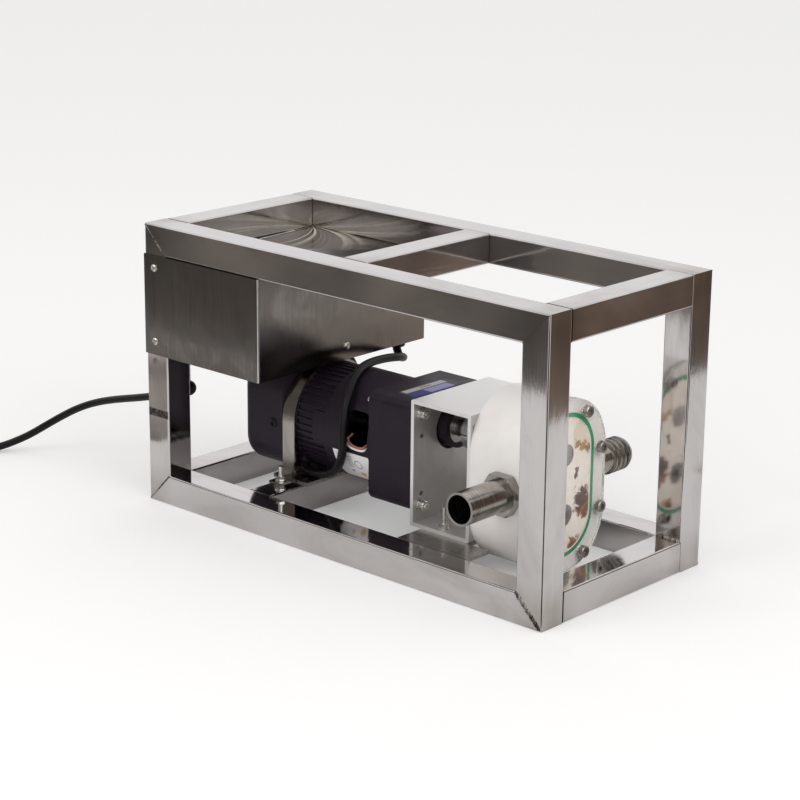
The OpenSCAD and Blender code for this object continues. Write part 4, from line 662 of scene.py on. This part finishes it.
# Coated paper, printed: matt, with flat colour fields that have soft ink edges. Places and sizes are parts of the
# sheet, 0 to 1 along each side; there is no lettering.
def printedPaper(name, printed):
    made, tree, body, place = startMaterial(name, printed["paper"], Roughness=0.5)
    sheet = addNode(tree, "UVMap", uv_map="sheetMap")
    axes = addNode(tree, "SeparateXYZ", {"Vector": sheet})
    fibre = addNode(tree, "TexNoise", {"Vector": place}, Scale=1000 / printed["fibreMm"], Detail=3.0)
    layers = [(fibre, hexToLinear(printed["paper"], 0.86))]
    for low, high, ink in printed["blocks"]:
        layers.append((boxMask(tree, sheet, (*low, -1), (*high, 1), 0.012), hexToLinear(ink)))
    for low, high, count, ink in printed["rules"]:  # a sine across the field, cut to thin rules
        field = boxMask(tree, sheet, (*low, -1), (*high, 1), 0.01)
        turns = count * math.pi * 2 / (high[1] - low[1])
        wave = addNode(tree, "Math", {0: axes.outputs[1], 1: turns}, operation="MULTIPLY")
        line = addNode(tree, "Math", {0: wave}, operation="SINE")
        thin = addNode(tree, "MapRange", {"Value": line}, From_Min=0.2, From_Max=0.7, To_Max=0.85)
        layers.append((addNode(tree, "Math", {0: thin, 1: field}, operation="MULTIPLY"), hexToLinear(ink)))
    for (cu, cv), radius, stretch, width, ink in printed["rounds"]:  # a ring of this width, or a dot if it has none
        centred = addNode(tree, "Mapping", {"Vector": sheet}, Location=(-cu, -cv * stretch, 0), Scale=(1, stretch, 1))
        away = addNode(tree, "VectorMath", {0: centred}, operation="LENGTH")
        if width is None:
            shape = addNode(tree, "MapRange", {"Value": away}, From_Min=radius - 0.006, From_Max=radius + 0.006,
                            To_Min=1.0, To_Max=0.0)
        else:
            off = addNode(tree, "Math", {0: away, 1: radius}, operation="SUBTRACT")
            near = addNode(tree, "Math", {0: off}, operation="ABSOLUTE")
            shape = addNode(tree, "MapRange", {"Value": near}, From_Min=width * 0.4, From_Max=width,
                            To_Min=0.7, To_Max=0.0)
        layers.append((shape, hexToLinear(ink)))
    coat = hexToLinear(printed["paper"])
    for part, ink in layers:
        coat = addNode(tree, "Mix", {"Factor": part, "A": coat, "B": ink}, data_type="RGBA")
    relief = addNode(tree, "Bump", {"Height": fibre}, Strength=0.1, Distance=0.00003)
    setSockets(tree, body, {"Base Color": coat, "Normal": relief})
    return made


labelSetup = {  # span along the motor, heights of the edges, and the circle just outside the casting's skin
    "x": (-0.0500, -0.0110), "z": (0.0690, 0.0425), "axisZ": 0.0805, "radius": 0.04512,
    "print": {
        "paper": "#fdfafc", "fibreMm": 0.4,
        "blocks": [((0.085, 0.55), (0.10, 0.93), "#a9a5a4"), ((0.355, 0.36), (0.41, 0.44), "#3f3a3c")],
        "rules": [((0.345, 0.55), (0.50, 0.92), 6, "#4d484a")],
        "rounds": [((0.641, 0.685), 0.100, 0.866, 0.020, "#77727a"), ((0.632, 0.335), 0.074, 0.866, None, "#d9a514")],
    },
}


def wrapLabel(setup):  # angle round the casting by length along it, on the circle
    top, low = (math.asin((z - setup["axisZ"]) / setup["radius"]) for z in setup["z"])
    x, a = np.meshgrid(np.linspace(*setup["x"], 13), np.linspace(low, top, 25), indexing="ij")
    points = np.stack([x, -setup["radius"] * np.cos(a), setup["axisZ"] + setup["radius"] * np.sin(a)], axis=-1)
    return uvSheet("motorLabel", points)


motorLabel = wrapLabel(labelSetup)
motorLabel.data.materials.append(printedPaper("printedWhiteLabel", labelSetup["print"]))
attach(motorLabel, "frame")

stickerSetup = {
    "x": (0.0100, 0.0285), "y": (-0.0330, 0.0230), "z": 0.12562,
    "print": {
        "paper": "#3a3438", "fibreMm": 0.4,
        "blocks": [((0.04, 0.06), (0.40, 0.90), "#b5b0ad"), ((0.48, 0.02), (1.0, 0.36), "#1c2080"),
                   ((0.48, 0.36), (1.0, 0.86), "#8f8ac0"), ((0.12, 0.40), (0.30, 0.62), "#8e898b")],
        "rules": [], "rounds": [],
    },
}


def flatSticker(setup):  # x by y at one height
    x, y = np.meshgrid(np.linspace(*setup["x"], 5), np.linspace(*setup["y"], 9), indexing="ij")
    return uvSheet("gearboxSticker", np.stack([x, y, np.full_like(x, setup["z"])], axis=-1))


gearboxSticker = flatSticker(stickerSetup)
gearboxSticker.data.materials.append(printedPaper("printedDarkSticker", stickerSetup["print"]))
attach(gearboxSticker, "frame")
print("labels made")

# Welds and seams of the polished frame, each row a bead: start, end, outward normal, width, height.
seamSetup = {
    "rough": [  # left as welded
        ((0.1870, -0.0970, 0.0252), (0.2115, -0.0970, 0.0010), (0, -1, 0), 0.0034, 0.0009),
        ((-0.2120, -0.0970, 0.0006), (-0.1880, -0.0970, 0.0250), (0, -1, 0), 0.0014, 0.0004),
        ((0.1870, 0.0970, 0.0252), (0.2120, 0.0970, 0.0004), (0, 1, 0), 0.0022, 0.0005),
        ((-0.2120, 0.0970, 0.0006), (-0.1880, 0.0970, 0.0250), (0, 1, 0), 0.0022, 0.0005),
        ((-0.2118, -0.0970, 0.2364), (-0.1888, -0.0970, 0.2128), (0, -1, 0), 0.0012, 0.0004),
        ((-0.1899, -0.0970, 0.2136), (-0.1880, -0.0970, 0.2112), (0, -1, 0), 0.0020, 0.0008),
        ((0.1890, 0.0719, 0.0251), (0.2118, 0.0719, 0.0251), (0, -0.7, 0.7), 0.0030, 0.0015),
        ((0.1890, -0.0719, 0.0251), (0.2118, -0.0719, 0.0251), (0, 0.7, 0.7), 0.0030, 0.0012),
        ((-0.2112, 0.0719, 0.0251), (-0.1890, 0.0719, 0.0251), (0, -0.7, 0.7), 0.0030, 0.0013),
        ((-0.2112, -0.0719, 0.0251), (-0.1890, -0.0719, 0.0251), (0, 0.7, 0.7), 0.0030, 0.0013),
    ],
    "ground": [  # ground flush: only a thin dark line is left
        ((0.2120, -0.0970, 0.2364), (0.1878, -0.0970, 0.2120), (0, -1, 0), 0.00055, 0.00005),
        ((-0.2120, 0.0970, 0.2364), (-0.1878, 0.0970, 0.2120), (0, 1, 0), 0.00055, 0.00005),
        ((0.2120, 0.0970, 0.2364), (0.1878, 0.0970, 0.2120), (0, 1, 0), 0.00055, 0.00005),
    ],
    # painted highlight: a white strip for the bright line that shows in the gap behind the lid
    "lidGlint": ((-0.1840, 0.0059, 0.2120), (-0.1863, 0.0498, 0.2120), (0, 0, 1), 0.0011, 0.00006),
    "stepLength": 0.00035, "ripplePitch": 0.0013,
}


# Half an ellipse swept along a line. Its ends taper with a square root, and the ripples of the weld pool, a folded
# sine and two slower ones multiplied, push it up and widen it.
def bead(start, end, normal, width, height, seed=0, setup=seamSetup):
    start, end, normal = (np.asarray(v, float) for v in (start, end, normal))
    run = end - start
    length = np.linalg.norm(run)
    side = np.cross(run / length, normal)
    t = np.linspace(0, 1, max(12, int(length / setup["stepLength"])))
    a = np.linspace(0, np.pi, 9)
    taper = np.clip(np.minimum(t, 1 - t) * length / (width * 0.7), 0.03, 1) ** 0.5
    pool = np.abs(np.sin(t * length / setup["ripplePitch"] * np.pi))
    ripple = 0.75 + 0.5 * pool + 0.4 * np.sin(t * 23 + seed) * np.sin(t * 61 + 2 * seed)
    across = np.cos(a)[None] * width / 2 * (taper * (0.55 + 0.45 * ripple))[:, None]
    upward = np.sin(a)[None] * height * (taper * ripple)[:, None] + 0.00002
    return start + run * t[:, None, None] + side * across[:, :, None] + normal * upward[:, :, None]


rivetSetup = {"centre": (-0.2023, -0.09705, 0.1221), "radius": 0.0030, "dome": 0.00014, "ring": 0.00018,
              "ringAt": 0.78, "ringSoft": 0.1}


def rivetHead(setup):  # a plugged hole: a shallow parabola and a bell-shaped ring, turned about the frame's Y direction
    x, y, z = setup["centre"]
    r = np.linspace(0.06, 1, 9)[:, None]
    a = np.linspace(0, 2 * np.pi, 33)[None, :-1]
    proud = setup["dome"] * (1 - r ** 2) + setup["ring"] * np.exp(-((r - setup["ringAt"]) / setup["ringSoft"]) ** 2)
    around, upward = (setup["radius"] * r * turn for turn in (np.cos(a), np.sin(a)))
    return gridMesh("postRivet", np.stack([x + around, y - proud + 0 * a, z + upward], axis=-1), closeV=True, capU=True)


screwSetup = {
    "pieces": {"fanCoverScrewNear": -1, "fanCoverScrewFar": 1}, "x": -0.1169, "z": 0.0762, "skinY": 0.045,
    # radius and height over the skin in mm, from the rim to the hollow in the middle
    "profileMm": [(4.3, -0.1), (3.9, 0.6), (3.2, 0.9), (2.2, 0.8), (1.8, 0.2), (1.1, 0.1), (0.3, 0.08)],
}


def coverScrew(setup, name):  # a small dished head, its profile turned about the frame's Y direction
    side = setup["pieces"][name]
    radius, proud = (column[:, None] / 1000 for column in np.array(setup["profileMm"]).T)
    a = np.linspace(0, 2 * np.pi, 33)[None, :-1] * side
    points = np.stack([setup["x"] + radius * np.cos(a), side * (setup["skinY"] + proud) + 0 * a,
                       setup["z"] + radius * np.sin(a)], axis=-1)
    return gridMesh(name, points, closeV=True, capU=True)


weldBeads = joinedGrids("weldBeads", [bead(*row, seed=i) for i, row in enumerate(seamSetup["rough"])])
weldBeads.data.materials.append(finishes["weldSteel"])
seamLines = joinedGrids("groundSeams", [bead(*row) for row in seamSetup["ground"]])
seamLines.data.materials.append(finishes["seamDark"])
postRivet = rivetHead(rivetSetup)
postRivet.data.materials.append(finishes["screwSteel"])
for screwName in screwSetup["pieces"]:
    # dark dished heads whose near-black colour is the painted shade of their recesses
    piece = coverScrew(screwSetup, screwName)
    piece.data.materials.append(finishes["paintedShadeScrew"])
    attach(piece, "frame")
# painted highlight: a white strip laid along the gap behind the lid
lidGlint = gridMesh("lidGapGlint", bead(*seamSetup["lidGlint"]))
lidGlint.data.materials.append(finishes["gapHighlight"])
for piece in (weldBeads, seamLines, postRivet, lidGlint):
    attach(piece, "frame")
print("welds and seams made")

# The room: a pale floor, two softboxes, and cards that only the polished steel shows.
studioSetup = {
    "floor": "#f1f0ef", "floorGlow": 0.2, "floorHalf": 14, "floorGrainMm": 1.1111,
    "roomLight": 0.72, "roomShine": 0.9,
    "lamps": [  # place, aim, width, height, strength
        ((1.9, -0.3, 1.35), (0, 0, 0.1), 1.3, 1.3, 1.9),
        ((-0.5, -1.9, 1.45), (0, 0, 0.1), 1.3, 1.3, 1.9),
    ],
    "cardPatchMm": 111.11,
    "cards": [  # corner, two edges, colour: what the polished steel reflects of the room
        ((-1.0, -0.566, 0.002), (1.1, 0, 0), (0, 0, 0.5), "#77716b"),
        ((-1.0, -0.566, 0.002), (0.68, 0, 0), (0, 0.112, 0), "#6f6964"),
        ((0.2140, -0.0985, 0.0021), (0.797, -0.070, 0), (0.139, -0.788, 0), "#45403b"),
        ((0.53, 0.05, 0.002), (0, 1.0, 0), (0, 0, 0.5), "#7a685a"),
        ((0.15, 0.28, 0.002), (0.20, 0, 0), (0, 0.34, 0), "#c9bbae"),
        ((-0.62, -0.40, 0.002), (0.30, 0, 0), (0, 0.20, 0), "#9c958f"),
    ],
}


def flatSheet(name, corner, across, upward):  # a parallelogram from a corner and two edges
    corner, across, upward = (np.array(v, float) for v in (corner, across, upward))
    return gridMesh(name, np.array([[corner, corner + upward], [corner + across, corner + across + upward]]))


def makeFloor(setup):  # pale matt floor that glows a little in the picture, so that it meets the background
    half = setup["floorHalf"]
    floor = flatSheet("studioFloor", (-half, -half, 0), (2 * half, 0, 0), (0, 2 * half, 0))
    made, tree, body, place = startMaterial("paleStudioFloor", setup["floor"], Roughness=0.85, Specular_IOR_Level=0.1)
    speckle = addNode(tree, "TexNoise", {"Vector": place}, Scale=1000 / setup["floorGrainMm"], Detail=2.0)
    setSockets(tree, body, {"Normal": addNode(tree, "Bump", {"Height": speckle}, Strength=0.05, Distance=0.0001)})
    rays = addNode(tree, "LightPath").outputs
    shown = addNode(tree, "Math", {0: rays["Is Camera Ray"], 1: rays["Is Transmission Ray"]}, operation="MAXIMUM")
    glow = addNode(tree, "Emission", Color=(1, 1, 1, 1), Strength=setup["floorGlow"])
    part = addNode(tree, "MixShader", {"Fac": shown, 2: glow})
    both = addNode(tree, "AddShader", {0: body, 1: part})
    setSockets(tree, tree.nodes["Material Output"], {"Surface": both})
    floor.data.materials.append(made)


def makeCard(setup, i, corner, across, upward, colour):  # matt card in soft patches, seen only in reflections
    card = flatSheet("darkCard%d" % i, corner, across, upward)
    made, tree, body, place = startMaterial("mattDarkCard%d" % i, colour, Roughness=0.9)
    patches = addNode(tree, "TexNoise", {"Vector": place}, Scale=1000 / setup["cardPatchMm"], Detail=3.0)
    tone = addNode(tree, "MapRange", {"Value": patches}, From_Min=0.35, From_Max=0.7)
    coat = addNode(tree, "Mix", {"Factor": tone, "A": hexToLinear(colour, 0.5), "B": hexToLinear(colour, 1.5)},
                   data_type="RGBA")
    setSockets(tree, body, {"Base Color": coat})
    card.data.materials.append(made)
    card.visible_camera = card.visible_diffuse = card.visible_shadow = card.visible_transmission = False


def makeLamp(i, place, aim, width, height, strength):  # a softbox aimed at the pump
    lamp = bpy.data.lights.new("softbox%d" % i, "AREA")
    lamp.shape, lamp.size, lamp.size_y = "RECTANGLE", width, height
    lamp.energy = strength * math.pi * width * height
    holder = bpy.data.objects.new("softbox%d" % i, lamp)
    bpy.context.scene.collection.objects.link(holder)
    holder.location = place
    holder.rotation_euler = (Vector(aim) - Vector(place)).to_track_quat("-Z", "Y").to_euler()
    holder.visible_camera = False


def makeRoom(setup):  # white world, brighter where the camera, a reflection or the clear cover shows it
    world = bpy.data.worlds.new("paleRoom")
    bpy.context.scene.world = world
    world.use_nodes = True
    tree = world.node_tree
    rays = addNode(tree, "LightPath").outputs
    seen = addNode(tree, "Math", {0: rays["Is Camera Ray"], 1: rays["Is Glossy Ray"]}, operation="MAXIMUM")
    shown = addNode(tree, "Math", {0: seen, 1: rays["Is Transmission Ray"]}, operation="MAXIMUM")
    level = addNode(tree, "MapRange", {"Value": shown}, To_Min=setup["roomLight"], To_Max=setup["roomShine"])
    setSockets(tree, tree.nodes["Background"], {"Color": (1, 1, 1, 1), "Strength": level})


makeFloor(studioSetup)
for i, row in enumerate(studioSetup["cards"]):
    makeCard(studioSetup, i, *row)
for i, row in enumerate(studioSetup["lamps"]):
    makeLamp(i, *row)
makeRoom(studioSetup)
bpy.context.scene.view_settings.view_transform = "Standard"
print("studio lit")
